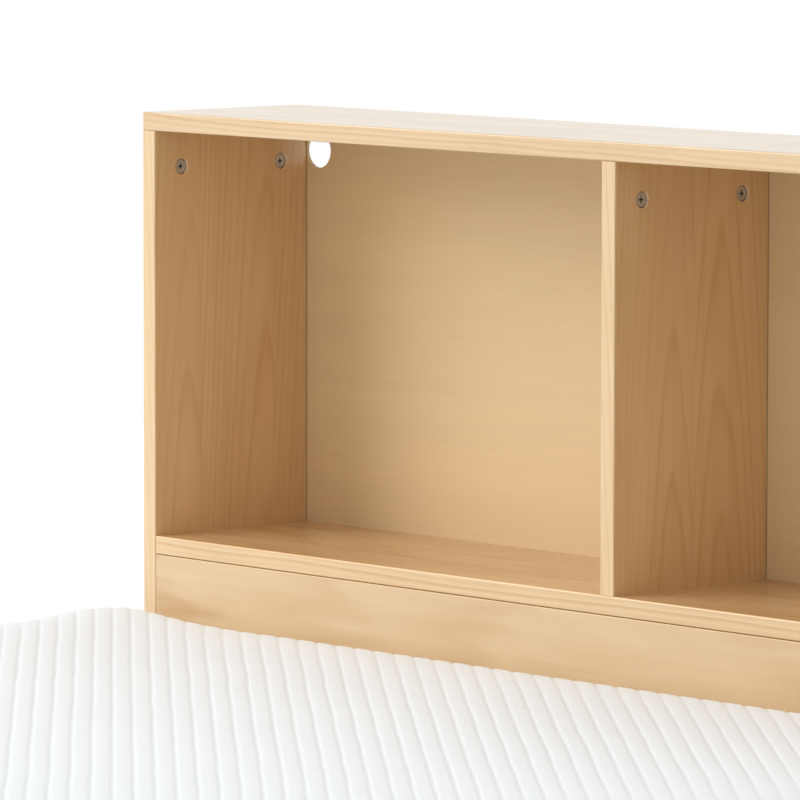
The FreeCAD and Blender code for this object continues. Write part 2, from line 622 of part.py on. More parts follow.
def add_case_bolts():
    """Bolts, washers and nuts that hold the head rail to the bookcase's front panel."""
    z = (rail_bottom + slat_under) / 2
    outer_x = case_inner - CASE_BOLT_INSET
    bolt = bolt_solid(FRAME_BOLT_DIAMETER, FRAME_BOLT_HEAD, FRAME_BOLT_HEAD_THICK, CASE_BOLT_LENGTH)
    washer = rod(WASHER_DIAMETER, WASHER_THICK, Vector(0, 0, 0), UP)
    nut = hexagon(HEX_NUT_WIDTH, HEX_NUT_THICK)
    for x in (-outer_x, -CASE_BOLT_FROM_MIDDLE, CASE_BOLT_FROM_MIDDLE, outer_x):
        seat = Vector(x, head_rail_y, z)
        inside = Vector(x, front_y + BOARD, z)
        shank = rod(FRAME_BOLT_DIAMETER, CASE_BOLT_LENGTH, seat, BACKWARD)
        keep("case_bolts", aim(bolt, seat, FORWARD))
        keep("case_washers", aim(washer, inside, BACKWARD).cut(shank))
        keep("case_nuts", aim(nut, inside + BACKWARD * WASHER_THICK, BACKWARD).cut(shank))
        bore_width = FRAME_BOLT_DIAMETER + 2 * BOLT_CLEARANCE
        bore = rod(bore_width, CASE_BOLT_LENGTH, seat, BACKWARD)
        drill("head_rail", bore)
        drill("front_panel", bore)


def make_cleats():
    """A cleat along each side rail, between the legs, that carries the slat ends."""
    along = (foot_inner_y + LEG, head_rail_y - LEG)
    height = (slat_under - CLEAT_HEIGHT, slat_under)
    screw_z = height[0] + CLEAT_SCREW_FROM_BOTTOM
    screw_ys = spread(along[0] + CLEAT_HEIGHT, along[1] - CLEAT_HEIGHT, CLEAT_SCREW_COUNT)
    for side, sign in SIDES:
        face = rail_inner - CLEAT_WIDTH
        keep(f"cleat_{side}", block(sorted((sign * face, sign * rail_inner)), along, height))
        places = [Vector(sign * face, y, screw_z) for y in screw_ys]
        boards = (f"cleat_{side}", f"side_rail_{side}")
        drive_screws("cleat_screws", CLEAT_SCREW, places, RIGHT * sign, boards)


def hanger_solid():
    """A beam hanger against the plane y = 0, its seat along +Y and the beam's underside at z = 0."""
    cheek = BEAM_WIDTH / 2 + HANGER_CLEARANCE
    outer = cheek + HANGER_STEEL
    wing = outer + HANGER_WING
    seat_y = (0, HANGER_STEEL + HANGER_CHEEK)
    plate = block((-wing, wing), (0, HANGER_STEEL), (-HANGER_STEEL, HANGER_PLATE_HEIGHT))
    seat = block((-outer, outer), seat_y, (-HANGER_STEEL, 0))
    cheeks = [
        block(sorted((sign * cheek, sign * outer)), seat_y, (-HANGER_STEEL, HANGER_CHEEK_HEIGHT))
        for side, sign in SIDES
    ]
    return plate.fuse([seat] + cheeks).removeSplitter()


def make_centre_beam():
    """The beam down the middle, its two hangers and the legs under it."""
    across = (-BEAM_WIDTH / 2, BEAM_WIDTH / 2)
    beam = block(across, beam_ends, (beam_bottom, slat_under))
    keep("centre_beam", beam.makeFillet(LEG_ROUND, edges(beam, "y", z=beam_bottom)))

    wing = BEAM_WIDTH / 2 + HANGER_CLEARANCE + HANGER_STEEL + HANGER_WING
    screw_x = wing - HANGER_SCREW_INSET
    plate_top = beam_bottom + HANGER_PLATE_HEIGHT
    screw_zs = (beam_bottom + HANGER_SCREW_INSET, plate_top - HANGER_SCREW_INSET)
    hanger = hanger_solid()
    for end, face_y, into in (("foot", foot_inner_y, BACKWARD), ("head", head_rail_y, FORWARD)):
        placed = hanger.copy()
        turn = Rotation(UP, 0 if into is BACKWARD else 180)
        placed.Placement = Placement(Vector(0, face_y, beam_bottom), turn)
        keep(f"beam_hanger_{end}", placed)
        plate_y = face_y + into.y * HANGER_STEEL
        places = [Vector(x, plate_y, z) for x in (-screw_x, screw_x) for z in screw_zs]
        boards = (f"beam_hanger_{end}", f"{end}_rail")
        drive_screws("hanger_screws", HANGER_SCREW, places, -into, boards)

    half = CENTRE_LEG / 2
    for number, y in enumerate(between(*beam_ends, CENTRE_LEG_COUNT), start=1):
        leg = block((-half, half), (y - half, y + half), (GLIDE_THICK, beam_bottom))
        stud = rod(STUD_DIAMETER, STUD_LENGTH, Vector(0, y, beam_bottom - STUD_LENGTH / 2), UP)
        keep(f"centre_leg_{number}", leg.makeFillet(LEG_ROUND, edges(leg, "z")).cut(stud))
        keep("centre_leg_studs", stud)
        drill("centre_beam", stud)


def make_slats():
    """The slats, screwed to the cleats or the legs and to the centre beam."""
    first = foot_inner_y + SLAT_END_SPACE + SLAT_WIDTH / 2
    last = front_y - SLAT_END_SPACE - SLAT_WIDTH / 2
    across = (-rail_inner + SLAT_SIDE_SPACE, rail_inner - SLAT_SIDE_SPACE)
    screw_x = rail_inner - CLEAT_WIDTH / 2
    places = []
    for number, y in enumerate(spread(first, last, SLAT_COUNT), start=1):
        along = (y - SLAT_WIDTH / 2, y + SLAT_WIDTH / 2)
        slat = block(across, along, (slat_under, PLATFORM_HEIGHT))
        slat = slat.makeFillet(SLAT_ROUND, edges(slat, "x", z=PLATFORM_HEIGHT))
        name = f"slat_{number:02d}"
        keep(name, slat)
        # over a head leg the screw stays in the leg and clear of the head rail
        screw_y = min(max(y, foot_inner_y + LEG / 2), head_rail_y - LEG / 2)
        spots = [Vector(x, screw_y, PLATFORM_HEIGHT) for x in (-screw_x, 0, screw_x)]
        drill(name, *[aim(screw_plug(SLAT_SCREW), spot, UP) for spot in spots])
        places += spots
    boards = ["cleat_left", "cleat_right", "centre_beam"]
    boards += [f"leg_{end}_{side}" for end, middle in leg_ys for side, sign in SIDES]
    drive_screws("slat_screws", SLAT_SCREW, places, DOWN, boards)


def add_glides():
    """A plastic glide and its nail under every leg and under both ends of each side panel."""
    spots = []  # the piece that carries the glide, its place and its diameter
    for side, sign in SIDES:
        for end, y in leg_ys:
            spots.append((f"leg_{end}_{side}", sign * leg_middle_x, y, LEG_GLIDE_DIAMETER))
        for y in (front_y + CASE_GLIDE_INSET, back_y - CASE_GLIDE_INSET):
            spots.append((f"side_panel_{side}", sign * side_middle, y, CASE_GLIDE_DIAMETER))
    for number, y in enumerate(between(*beam_ends, CENTRE_LEG_COUNT), start=1):
        spots.append((f"centre_leg_{number}", 0, y, LEG_GLIDE_DIAMETER))
    head, shank = NAIL_HEAD_DIAMETER / 2, NAIL_DIAMETER / 2
    shoulder = [(head, 0), (head, NAIL_HEAD_THICK), (shank, NAIL_HEAD_THICK)]
    nail = lathe(shoulder + [(shank, NAIL_LENGTH)])
    for carrier, x, y, diameter in spots:
        floor, rim = Vector(x, y, 0), diameter / 2
        pad = lathe([(rim - GLIDE_CHAMFER, 0), (rim, GLIDE_CHAMFER), (rim, GLIDE_THICK)])
        placed = aim(nail, floor + UP * NAIL_SINK, UP)
        keep("glides", aim(pad, floor, UP).cut([placed, rod(NAIL_HEAD_DIAMETER, NAIL_SINK, floor, UP)]))
        keep("glide_nails", placed)
        drill(carrier, placed)


# ---------------------------------------------------------------- mattress


def mattress_outline():
    """The mattress from above: four sides that pull in a little, between round corners."""
    half_x, half_y = MATTRESS_WIDTH / 2, MATTRESS_LENGTH / 2
    corner_x, corner_y = half_x - MATTRESS_CORNER, half_y - MATTRESS_CORNER
    bulge = MATTRESS_CORNER * math.sqrt(0.5)
    points = []  # start and middle of each arc in turn, anticlockwise
    for sx, sy in ((1, -1), (1, 1), (-1, 1), (-1, -1)):
        side_end = Vector(sx * half_x, sy * corner_y, 0)
        end_end = Vector(sx * corner_x, sy * half_y, 0)
        corner = Vector(sx * (corner_x + bulge), sy * (corner_y + bulge), 0)
        if sx * sy < 0:  # the corner runs from an end of the mattress to a side
            middle = Vector(sx * (half_x - MATTRESS_DRAW_IN), 0, 0)
            points += [end_end, corner, side_end, middle]
        else:
            middle = Vector(0, sy * (half_y - MATTRESS_DRAW_IN), 0)
            points += [side_end, corner, end_end, middle]
    points.append(points[0])
    arcs = [Part.Arc(*points[i : i + 3]).toShape() for i in range(0, len(points) - 2, 2)]
    return Part.Face(Part.Wire(arcs))


def channelled_slab():
    """A slab whose upper face is crowned and sewn in channels that run diagonally."""
    angle = math.radians(CHANNEL_ANGLE)
    along = Vector(math.sin(angle), -math.cos(angle), 0)
    across = Vector(math.cos(angle), math.sin(angle), 0)
    reach = math.hypot(MATTRESS_WIDTH, MATTRESS_LENGTH) / 2 + CHANNEL_PITCH
    count = math.ceil(reach / CHANNEL_PITCH)
    start = -along * reach

    def seam(i):
        s = i * CHANNEL_PITCH
        drop = MATTRESS_CROWN * (s / reach) ** 2
        return start + across * s + UP * (MATTRESS_HEIGHT - CHANNEL_RISE - drop)

    profile = []
    for i in range(-count, count):
        low, high = seam(i), seam(i + 1)
        crest = (low + high) / 2 + UP * CHANNEL_RISE
        profile.append(Part.Arc(low, crest, high).toShape())
    first, last = seam(-count), seam(count)
    under = UP * (MATTRESS_HEIGHT + DRILL_PAST)
    corners = [last, last - under, first - under, first]
    profile += [Part.LineSegment(p, q).toShape() for p, q in zip(corners, corners[1:])]
    return Part.Face(Part.Wire(profile)).extrude(along * (2 * reach))


def make_mattress():
    """The mattress, with soft edges, a crowned top and sewn channels."""
    blank_height = MATTRESS_HEIGHT + MATTRESS_TRIM
    body = mattress_outline().extrude(UP * blank_height)
    for height, radius in ((0, MATTRESS_BOTTOM_ROUND), (blank_height, MATTRESS_TOP_ROUND)):
        level = [edge for edge in body.Edges if edge.BoundBox.ZLength < TINY]
        rim = [edge for edge in level if abs(edge.BoundBox.ZMin - height) < TINY]
        body = body.makeFillet(radius, rim)
    body = body.common(channelled_slab())
    middle_y = front_y - MATTRESS_HEAD_GAP - MATTRESS_LENGTH / 2
    body.translate(Vector(0, middle_y, PLATFORM_HEIGHT + MATTRESS_REST_GAP))
    keep("mattress", body)


# ---------------------------------------------------------------- build and export


def main():
    make_top_board()
    make_side_panels()
    make_inner_boards()
    make_back_panel()
    add_cams()
    add_side_bolts()
    add_case_dowels()
    add_case_screws()
    make_rails()
    make_legs()
    add_leg_bolts()
    add_case_bolts()
    make_cleats()
    make_centre_beam()
    make_slats()
    add_glides()
    make_mattress()
    os.makedirs("parts", exist_ok=True)
    for name, solids in PIECES.items():
        shape = solids[0] if len(solids) == 1 else Part.makeCompound(solids)
        shape.exportStep(f"parts/{name}.step")
        print(f"{name}: {len(solids)} solids, {shape.Volume / 1000:.1f} cm3, valid {shape.isValid()}")


main()
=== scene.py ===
"""Bookcase headboard bed: the looks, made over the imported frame."""

import math

import bmesh
import bpy
import numpy as np
from mathutils import Matrix, Vector, kdtree


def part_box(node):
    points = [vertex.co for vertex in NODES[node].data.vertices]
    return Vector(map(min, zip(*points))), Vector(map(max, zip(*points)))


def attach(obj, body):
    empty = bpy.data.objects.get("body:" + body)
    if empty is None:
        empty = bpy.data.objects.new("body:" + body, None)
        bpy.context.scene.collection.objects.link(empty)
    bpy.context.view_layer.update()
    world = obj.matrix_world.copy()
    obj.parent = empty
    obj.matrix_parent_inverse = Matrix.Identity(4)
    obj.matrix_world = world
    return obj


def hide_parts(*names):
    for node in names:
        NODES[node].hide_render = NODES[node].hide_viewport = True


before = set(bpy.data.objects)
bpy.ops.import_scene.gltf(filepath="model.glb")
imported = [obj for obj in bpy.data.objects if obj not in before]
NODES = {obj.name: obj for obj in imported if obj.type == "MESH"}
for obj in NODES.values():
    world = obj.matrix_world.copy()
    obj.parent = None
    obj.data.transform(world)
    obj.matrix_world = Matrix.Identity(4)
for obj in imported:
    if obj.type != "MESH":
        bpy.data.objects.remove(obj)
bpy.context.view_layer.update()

bl_info = {
    "name": "Bookcase headboard bed",
    "version": (1, 0, 0),
    "blender": (4, 5, 0),
    "location": "View3D > Sidebar > Bed",
    "description": "Pine, plywood, fittings and a quilted mattress for a bed with a bookcase headboard",
    "category": "Object",
}

MM = 0.001

# where the bookcase's faces and cam locks lie in the frame
INNER_X = 634.0 * MM
DIVIDER_X = 9.0 * MM
FRONT_Y = 867.5 * MM
GROOVE_Z = 566.0 * MM
SHELF_TOP = 584.0 * MM
CAM_YS = (901.8 * MM, 1032.2 * MM)
CAM_Z = 946.0 * MM
CAM_RECESS = 1.2 * MM
BORE_RADIUS = 8.0 * MM

# the growth of the pine, by board; boards are cut LOG_SHIFT apart, times their seed
LOG_SHIFT = (0.37, 0.11, 1.7)
TAPER, UPRIGHT_TAPER = 0.014, 0.042
BEND, UPRIGHT_BEND = 0.032, 0.016
SOFT_LATE_WOOD, THIN_LATE_WOOD = 2.0, 5.0
UPRIGHT_STAVE = 98 * MM
PITH = 32 * MM
# painted light: faces that look away from the foot take these tones, darker and warmer on the uprights
# and shelf for their shade and whiter on the top board for the reflection it shows; faces towards the
# foot take paler, bluer tints for the light and sheen they catch
PAINTED_LIGHT_TINTS = {
    "upright": (0.94, 0.89, 0.85), "flat": (0.87, 0.82, 0.79), "top": (0.93, 0.98, 1.05),
    "top_edge": (1.03, 1.08, 1.22), "panel_face": (0.99, 1.03, 1.18),
}
# painted highlight: colour of the lit wall of each cam bore
LIT_BORE_WALL = (250, 228, 196)
TOP_COAT = 0.45

# the knit and the mattress's mesh
COURSE, WALE, CREASE = 2.8 * MM, 1.6 * MM, 17 * MM
PHASES = (0.0, 0.09, 0.27, 0.5, 0.73, 0.91)
EDGE_STEPS, MIDDLE_STEPS = 8, 66
ROUNDNESS = 6.0
BAG_PHASES, BAG_EDGE_STEPS, BAG_MIDDLE_STEPS = (0.0, 0.5), 4, 56
BAG_VOXEL = 24 * MM
BAG_HELD = 30 * MM
BAG_FRAMES = 20

# the studio
CAMERA_PLACE = (4.455962, -3.486192, 1.371077)
CAMERA_TURN, CAMERA_TIP, CAMERA_ROLL = (math.radians(a) for a in (47.404, 5.57, 0.079))
CAMERA_LENS, CAMERA_SENSOR, CAMERA_REACH = 308.68, 36.0, 200.0
KEY_PLACE, KEY_TARGET, KEY_SIZE = (-5.06, -4.73, 4.51), (-0.1, 0.95, 0.75), 5.44
OVERHEAD_PLACE, OVERHEAD_TARGET, OVERHEAD_SIZE = (0.0, -1.0, 3.8), (0.0, -0.4, 0.5), 3.4
FLOOR_REACH = 60.0
FLOOR_FADE = (1.8, 4.5)


def srgb(r, g, b):
    """A colour in linear light, from 8-bit display values."""
    return tuple(
        c / 255 / 12.92 if c <= 10.3 else ((c / 255 + 0.055) / 1.055) ** 2.4 for c in (r, g, b)
    )


# ---------------------------------------------------------------- settings


class BedWoodSettings(bpy.types.PropertyGroup):
    light: bpy.props.FloatVectorProperty(
        name="Early wood", description="The pale wood between the rings", subtype="COLOR",
        size=3, min=0, max=1, default=srgb(229, 199, 152),
    )
    dark: bpy.props.FloatVectorProperty(
        name="Late wood", description="The darker lines of the rings", subtype="COLOR",
        size=3, min=0, max=1, default=srgb(203, 160, 107),
    )
    ply: bpy.props.FloatVectorProperty(
        name="Plywood", description="The face veneer of the back panel", subtype="COLOR",
        size=3, min=0, max=1, default=srgb(226, 197, 151),
    )
    # painted light: the faces that look towards the foot are tinted paler and bluer for the light and
    # sheen they catch
    edge: bpy.props.FloatVectorProperty(
        name="Front edges", description="Tint of the faces that look towards the foot", size=3,
        min=0, max=2, default=(1.08, 1.12, 1.26),
    )
    ring: bpy.props.FloatProperty(
        name="Ring width", description="One year's growth", default=0.0058, min=0.001, max=0.05,
        unit="LENGTH",
    )
    stave: bpy.props.FloatProperty(
        name="Stave width", description="Width of the strips that a board is glued from",
        default=0.068, min=0.02, max=0.5, unit="LENGTH",
    )
    roughness: bpy.props.FloatProperty(
        name="Roughness", description="Satin of the clear lacquer", default=0.24, min=0, max=1,
        subtype="FACTOR",
    )


class BedMattressSettings(bpy.types.PropertyGroup):
    pitch: bpy.props.FloatProperty(
        name="Channel pitch", description="From seam to seam of the quilting", default=0.0175,
        min=0.005, max=0.1, unit="LENGTH",
    )
    rise: bpy.props.FloatProperty(
        name="Channel rise", description="A channel's crest above its seams", default=0.0010,
        min=0, max=0.01, unit="LENGTH",
    )
    angle: bpy.props.FloatProperty(
        name="Channel angle", description="From the foot end towards the right-hand side",
        default=math.radians(49.8), subtype="ANGLE",
    )
    corner: bpy.props.FloatProperty(
        name="Corner radius", description="Of the corners seen from above", default=0.070,
        min=0.01, max=0.3, unit="LENGTH",
    )
    draw_in: bpy.props.FloatProperty(
        name="Draw in", description="How far each side pulls in between two corners",
        default=0.004, min=0, max=0.03, unit="LENGTH",
    )
    top_round: bpy.props.FloatProperty(
        name="Top round", description="Radius of the upper edge", default=0.032, min=0.005,
        max=0.08, unit="LENGTH",
    )
    bottom_round: bpy.props.FloatProperty(
        name="Bottom round", description="Radius of the lower edge", default=0.014, min=0.002,
        max=0.05, unit="LENGTH",
    )
    corner_lift: bpy.props.FloatProperty(
        name="Corner lift", description="How far the corners stand above the sides", default=0.006,
        min=0, max=0.02, unit="LENGTH",
    )
    crown: bpy.props.FloatProperty(
        name="Crown", description="How far the filling lifts the middle", default=0.002, min=0,
        max=0.02, unit="LENGTH",
    )
    wander: bpy.props.FloatProperty(
        name="Wander", description="How far the seams stray from straight lines", default=0.0015,
        min=0, max=0.01, unit="LENGTH",
    )
    cover: bpy.props.FloatVectorProperty(
        name="Cover", description="The white knit cover", subtype="COLOR", size=3, min=0, max=1,
        default=srgb(249, 253, 255),
    )


class BedStageSettings(bpy.types.PropertyGroup):
    floor: bpy.props.FloatVectorProperty(
        name="Floor", description="Pale studio floor", subtype="COLOR", size=3, min=0, max=1,
        default=(0.88, 0.88, 0.88),
    )
    key: bpy.props.FloatProperty(
        name="Key light", description="Power of the big soft light at the upper front left",
        default=345.6, min=0, unit="POWER",
    )
    overhead: bpy.props.FloatProperty(
        name="Overhead light", description="Power of the weaker light over the mattress",
        default=16.0, min=0, unit="POWER",
    )
    ambient: bpy.props.FloatProperty(
        name="Ambient", description="Strength of the white room around the bed", default=0.65,
        min=0, max=1,
    )


# ---------------------------------------------------------------- node trees


class Socket:
    """An output socket. Arithmetic on it adds Math nodes to its tree."""

    def __init__(self, tree, socket):
        self.tree, self.socket = tree, socket

    def out(self, name):
        """Another output of the same node."""
        return Socket(self.tree, self.socket.node.outputs[name])

    def math(self, operation, *others):
        return self.tree.add(self.tree.math_node, {"operation": operation}, [self, *others])

    def __add__(self, other):
        return self.math("ADD", other)

    def __sub__(self, other):
        return self.math("SUBTRACT", other)

    def __mul__(self, other):
        return self.math("MULTIPLY", other)

    def __truediv__(self, other):
        return self.math("DIVIDE", other)

    def __pow__(self, other):
        return self.math("POWER", other)

    def __rsub__(self, other):
        return self.tree.add(self.tree.math_node, {"operation": "SUBTRACT"}, [other, self])

    __radd__ = __add__
    __rmul__ = __mul__


class Tree:
    """A shader or geometry node tree under construction."""

    math_node = "ShaderNodeMath"

    def __init__(self, tree):
        self.tree = tree

    def add(self, kind, settings=None, values=None, out=0):
        """Adds a node of this kind, sets it up, feeds its inputs and returns its output `out`."""
        node = self.tree.nodes.new(kind)
        for key, value in (settings or {}).items():
            setattr(node, key, value)
        pairs = values.items() if isinstance(values, dict) else enumerate(values or [])
        for key, value in pairs:
            if isinstance(value, Socket):
                self.tree.links.new(value.socket, node.inputs[key])
            else:
                node.inputs[key].default_value = value
        return Socket(self, node.outputs[out]) if node.outputs else node

    def step(self, value, low, high):
        """0 below low, 1 above high, smooth between."""
        values = {"Value": value, "From Min": low, "From Max": high}
        return self.add("ShaderNodeMapRange", {"interpolation_type": "SMOOTHSTEP"}, values)

    def blend(self, factor, a, b, how="MIX"):
        """Colour a turning into colour b as factor goes from 0 to 1."""
        settings = {"data_type": "RGBA", "blend_type": how}
        return self.add("ShaderNodeMix", settings, {0: factor, 6: a, 7: b}, out=2)

    def noise(self, vector, scale=1.0, detail=2.0, roughness=0.5):
        values = {"Vector": vector, "Scale": scale, "Detail": detail, "Roughness": roughness}
        return self.add("ShaderNodeTexNoise", None, values)

    def stretched(self, x, y, z):
        return self.add("ShaderNodeCombineXYZ", None, [x, y, z])

    def grey(self, value):
        return self.stretched(value, value, value)

    def times(self, colour, shades):
        """A colour multiplied by another, channel by channel."""
        return self.blend(1.0, colour, shades, how="MULTIPLY")

    def dice(self, value, out=0):
        """White noise: one draw for each whole value."""
        return self.add("ShaderNodeTexWhiteNoise", {"noise_dimensions": "1D"}, {"W": value}, out=out)

    def near(self, distance, inner, outer):
        """1 closer than inner, 0 further than outer."""
        return 1 - self.step(distance, inner, outer)

    def places(self, output="Object"):
        """One of the texture coordinates, split into X, Y and Z."""
        return self.add("ShaderNodeSeparateXYZ", None, [self.add("ShaderNodeTexCoord", out=output)])


def new_material(name):
    """A material with an empty node tree."""
    material = bpy.data.materials.new(name)
    material.use_nodes = True
    material.node_tree.nodes.clear()
    return material, Tree(material.node_tree)


def finish_material(tree, values):
    """Ends a tree in one Principled shader with these values or links."""
    shader = tree.add("ShaderNodeBsdfPrincipled", None, values)
    tree.add("ShaderNodeOutputMaterial", None, {"Surface": shader})


def bump(tree, height, distance, strength=1.0):
    values = {"Height": height, "Distance": distance, "Strength": strength}
    return tree.add("ShaderNodeBump", None, values)


def rgba(colour):
    return (*colour[:3], 1.0)


def seen_rays(tree):
    """1 for the rays that show a surface as it is seen, directly, reflected or through glass."""
    ray = tree.add("ShaderNodeLightPath", out="Is Camera Ray")
    return ray.math("MAXIMUM", ray.out("Is Glossy Ray")).math("MAXIMUM", ray.out("Is Transmission Ray"))


# ---------------------------------------------------------------- wood


def wood_axes(tree, along, across):
    """Object coordinates as (across the face, through the board, along the grain)."""
    xyz = tree.places()
    through = ({"X", "Y", "Z"} - {along, across}).pop()
    return xyz.out(across), xyz.out(through), xyz.out(along)


def painted_joint_shade(t, colour, place):
    """Paints shade into the joints at the front panel's top and ends, and a painted highlight along the
    shelf's top front edge.
    """
    under = (place.out("Z") - GROOVE_Z).math("ABSOLUTE")
    end = (place.math("ABSOLUTE") - INNER_X).math("ABSOLUTE")
    groove_shade = t.near(under, 0.2 * MM, 1.1 * MM).math("MAXIMUM", t.near(end, 0.3 * MM, 1.2 * MM) * 0.8)
    # painted highlight along the shelf's top front edge
    painted_edge_highlight = t.step(place.out("Z"), SHELF_TOP - 1.3 * MM, SHELF_TOP - 0.5 * MM)
    painted_edge_highlight = painted_edge_highlight * t.near(place.out("Y"), FRONT_Y + 1.2 * MM, FRONT_Y + 2.2 * MM)
    dim = 1 - groove_shade * 0.34 + painted_edge_highlight * 0.35
    return t.times(colour, t.stretched(dim, dim - groove_shade * 0.14, dim - groove_shade * 0.36))


def painted_bore_highlight(t, colour, place, face):
    """Paints a highlight: the pale crescent of the lit bore wall behind each cam lock, on the face at X
    = face.
    """
    y, z = place.out("Y"), place.out("Z")
    rim = t.near(from_cams(t, y, z), BORE_RADIUS, BORE_RADIUS + 0.9 * MM)
    rim = rim * t.near((place - face).math("ABSOLUTE"), 3 * MM, 5 * MM)
    past_front, past_back = y - CAM_YS[0], y - CAM_YS[1]
    behind = t.step(past_front, 2 * MM, 6 * MM) * t.near(past_front, 10 * MM, 12 * MM)
    behind = behind + t.step(past_back, 2 * MM, 6 * MM)
    return t.blend(rim * behind, colour, rgba(srgb(*LIT_BORE_WALL)))


def pine(name, along, across, seed, painted_tone=(1, 1, 1), front=None, stave=None, taper=TAPER,
         soft=SOFT_LATE_WOOD, bend=BEND, coat=0.0, bored=None, painted_joints=False):
    """Lacquered pine, glued from staves whose rings run through the solid board."""
    wood = bpy.context.scene.bed_wood
    stave, front = stave or wood.stave, front or wood.edge
    material, t = new_material(name)
    u, through, w = wood_axes(t, along, across)
    u, v, w = (c + shift * seed for c, shift in zip((u, through, w), LOG_SHIFT))

    strip = (u / stave).math("FLOOR")
    one = t.add("ShaderNodeSeparateColor", None, [t.dice(strip + 7.3 * seed, out="Color")])
    two, three = one.out(1), one.out(2)
    inside = u - (strip + 0.5) * stave
    w = w + three * 3.0

    # rings: distance from the pith, which leans, bends and ripples along the stave
    sway = t.noise(t.stretched(u * 9, v * 9, w * 1.3), detail=3) - 0.5
    ripple = t.noise(t.stretched(u * 45, v * 45, w * 5), detail=2) - 0.5
    side = inside - (one - 0.5) * (1.4 * stave)
    if bored is None:
        deep = v + two * 0.04 + 0.014
    else:  # the pith lies PITH behind the bored face, so its rings crowd together
        deep = through + two * 0.02 + (PITH - bored)
    radius = (side * side + deep * deep).math("SQRT") + w * taper + sway * bend + ripple * 0.0022
    rings = radius / wood.ring + three * 9
    part = rings.math("FRACT")
    late = part**soft * t.near(part, 0.60 + soft * 0.04, 1.0) * (1.9 - soft * 0.1)
    year = t.dice(rings.math("FLOOR") + strip * 31.7)

    fibre = t.noise(t.stretched(u * 620, v * 620, w * 7), detail=3, roughness=0.65) - 0.5
    streak = t.noise(t.stretched(u * 110, v * 110, w * 1.6), detail=2) - 0.5
    cloud = t.noise(t.stretched(u * 9, v * 9, w * 2.0), detail=2) - 0.5
    blotch = t.noise(t.stretched(u * 28, v * 28, w * 10), detail=2) - 0.5

    depth = late * (year * 0.7 + 0.3) * 0.66 + fibre * 0.28 + streak * 0.40 + 0.26
    depth = depth.math("MINIMUM", 1.0).math("MAXIMUM", 0.0)
    colour = t.blend(depth, rgba(wood.light), rgba(wood.dark))
    amid = t.near(inside.math("ABSOLUTE") / stave, 0.36, 0.5)
    shade = cloud * 0.13 + (one - 0.5) * amid * 0.05 + 1.0
    colour = t.times(colour, t.stretched(*(shade + blotch * k for k in (0.10, 0.15, 0.24))))
    # painted light: faces that look towards the foot take the paler front tint, all other faces the
    # painted tone
    lit_front = t.step(0.0 - t.places("Normal").out("Y"), 0.55, 0.95)
    colour = t.times(colour, t.blend(lit_front, rgba(painted_tone), rgba(front)))
    place = t.places()
    # painted shade in the joints and a painted highlight on the shelf's front edge
    if painted_joints:
        colour = painted_joint_shade(t, colour, place)
    # painted highlight on the lit wall of each cam bore
    if bored is not None:
        colour = painted_bore_highlight(t, colour, place, bored)
    finish_material(t, {
        "Base Color": colour,
        "Roughness": fibre * 0.10 + late * 0.04 + wood.roughness,
        "Coat Weight": coat,
        "Coat Roughness": 0.12,
        "Normal": bump(t, fibre * 0.6 + late * 0.4, 0.12 * MM, 0.5),
    })
    return material


def plywood(name, seed):
    """The thin back panel: a plain face veneer over a core whose grain runs the other way."""
    wood = bpy.context.scene.bed_wood
    material, t = new_material(name)
    place = t.places()
    x, y, z = (place.out(axis) for axis in "XYZ")
    sway = t.noise(t.stretched(x * 1.4, y * 3, z * 5), detail=3) - 0.5
    height = z + sway * 0.020
    fine = t.noise(t.stretched(x * 9 + seed, y * 200, height * 420), detail=3, roughness=0.6)
    fine = fine - 0.5
    band = t.noise(t.stretched(x * 1.1 + seed, y * 3, height * 34), detail=3) - 0.5
    figure = t.noise(t.stretched(x * 2.5, y * 3, height * 8 + seed), detail=2) - 0.5
    shade = fine * 0.10 + band * 0.10 + figure * 0.07 + 1.0
    front, back = (edge.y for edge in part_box("back_panel"))
    core = t.step(y, front + 0.9 * MM, front + 1.0 * MM) * t.near(y, back - 1.0 * MM, back - 0.9 * MM)
    # painted shade: a dark line on the back panel's front face where it meets the side panels and the
    # divider
    corner = INNER_X - x.math("ABSOLUTE")
    middle = x.math("ABSOLUTE") - DIVIDER_X
    ply_joint_shade = t.near(corner, 0.7 * MM, 1.7 * MM).math("MAXIMUM", t.near(middle, 0.7 * MM, 1.7 * MM))
    ply_joint_shade = ply_joint_shade * t.near(y, front + 0.4 * MM, front + 0.8 * MM)
    shade = shade * (1 - core * 0.22) * (1 - ply_joint_shade * 0.6)
    colour = t.times(rgba(wood.ply), t.stretched(shade, shade, shade * (1 - fine * 0.03)))
    finish_material(t, {
        "Base Color": colour,
        "Roughness": fine * 0.10 + 0.42,
        "Normal": bump(t, fine, 0.08 * MM, 0.4),
    })
    return material


def beech(name):
    """Turned beech, pinkish, with short dark flecks along the dowel."""
    material, t = new_material(name)
    place = t.add("ShaderNodeTexCoord", out="Object")
    fleck = t.noise(place, 900, 2) - 0.5
    cloud = t.noise(place, 60, 3) - 0.5
    shade = fleck * 0.22 + cloud * 0.18 + 1.0
    finish_material(t, {
        "Base Color": t.times(rgba(srgb(214, 178, 140)), t.grey(shade)),
        "Roughness": fleck * 0.2 + 0.6,
        "Normal": bump(t, fleck, 0.05 * MM),
    })
    return material


# ---------------------------------------------------------------- fittings


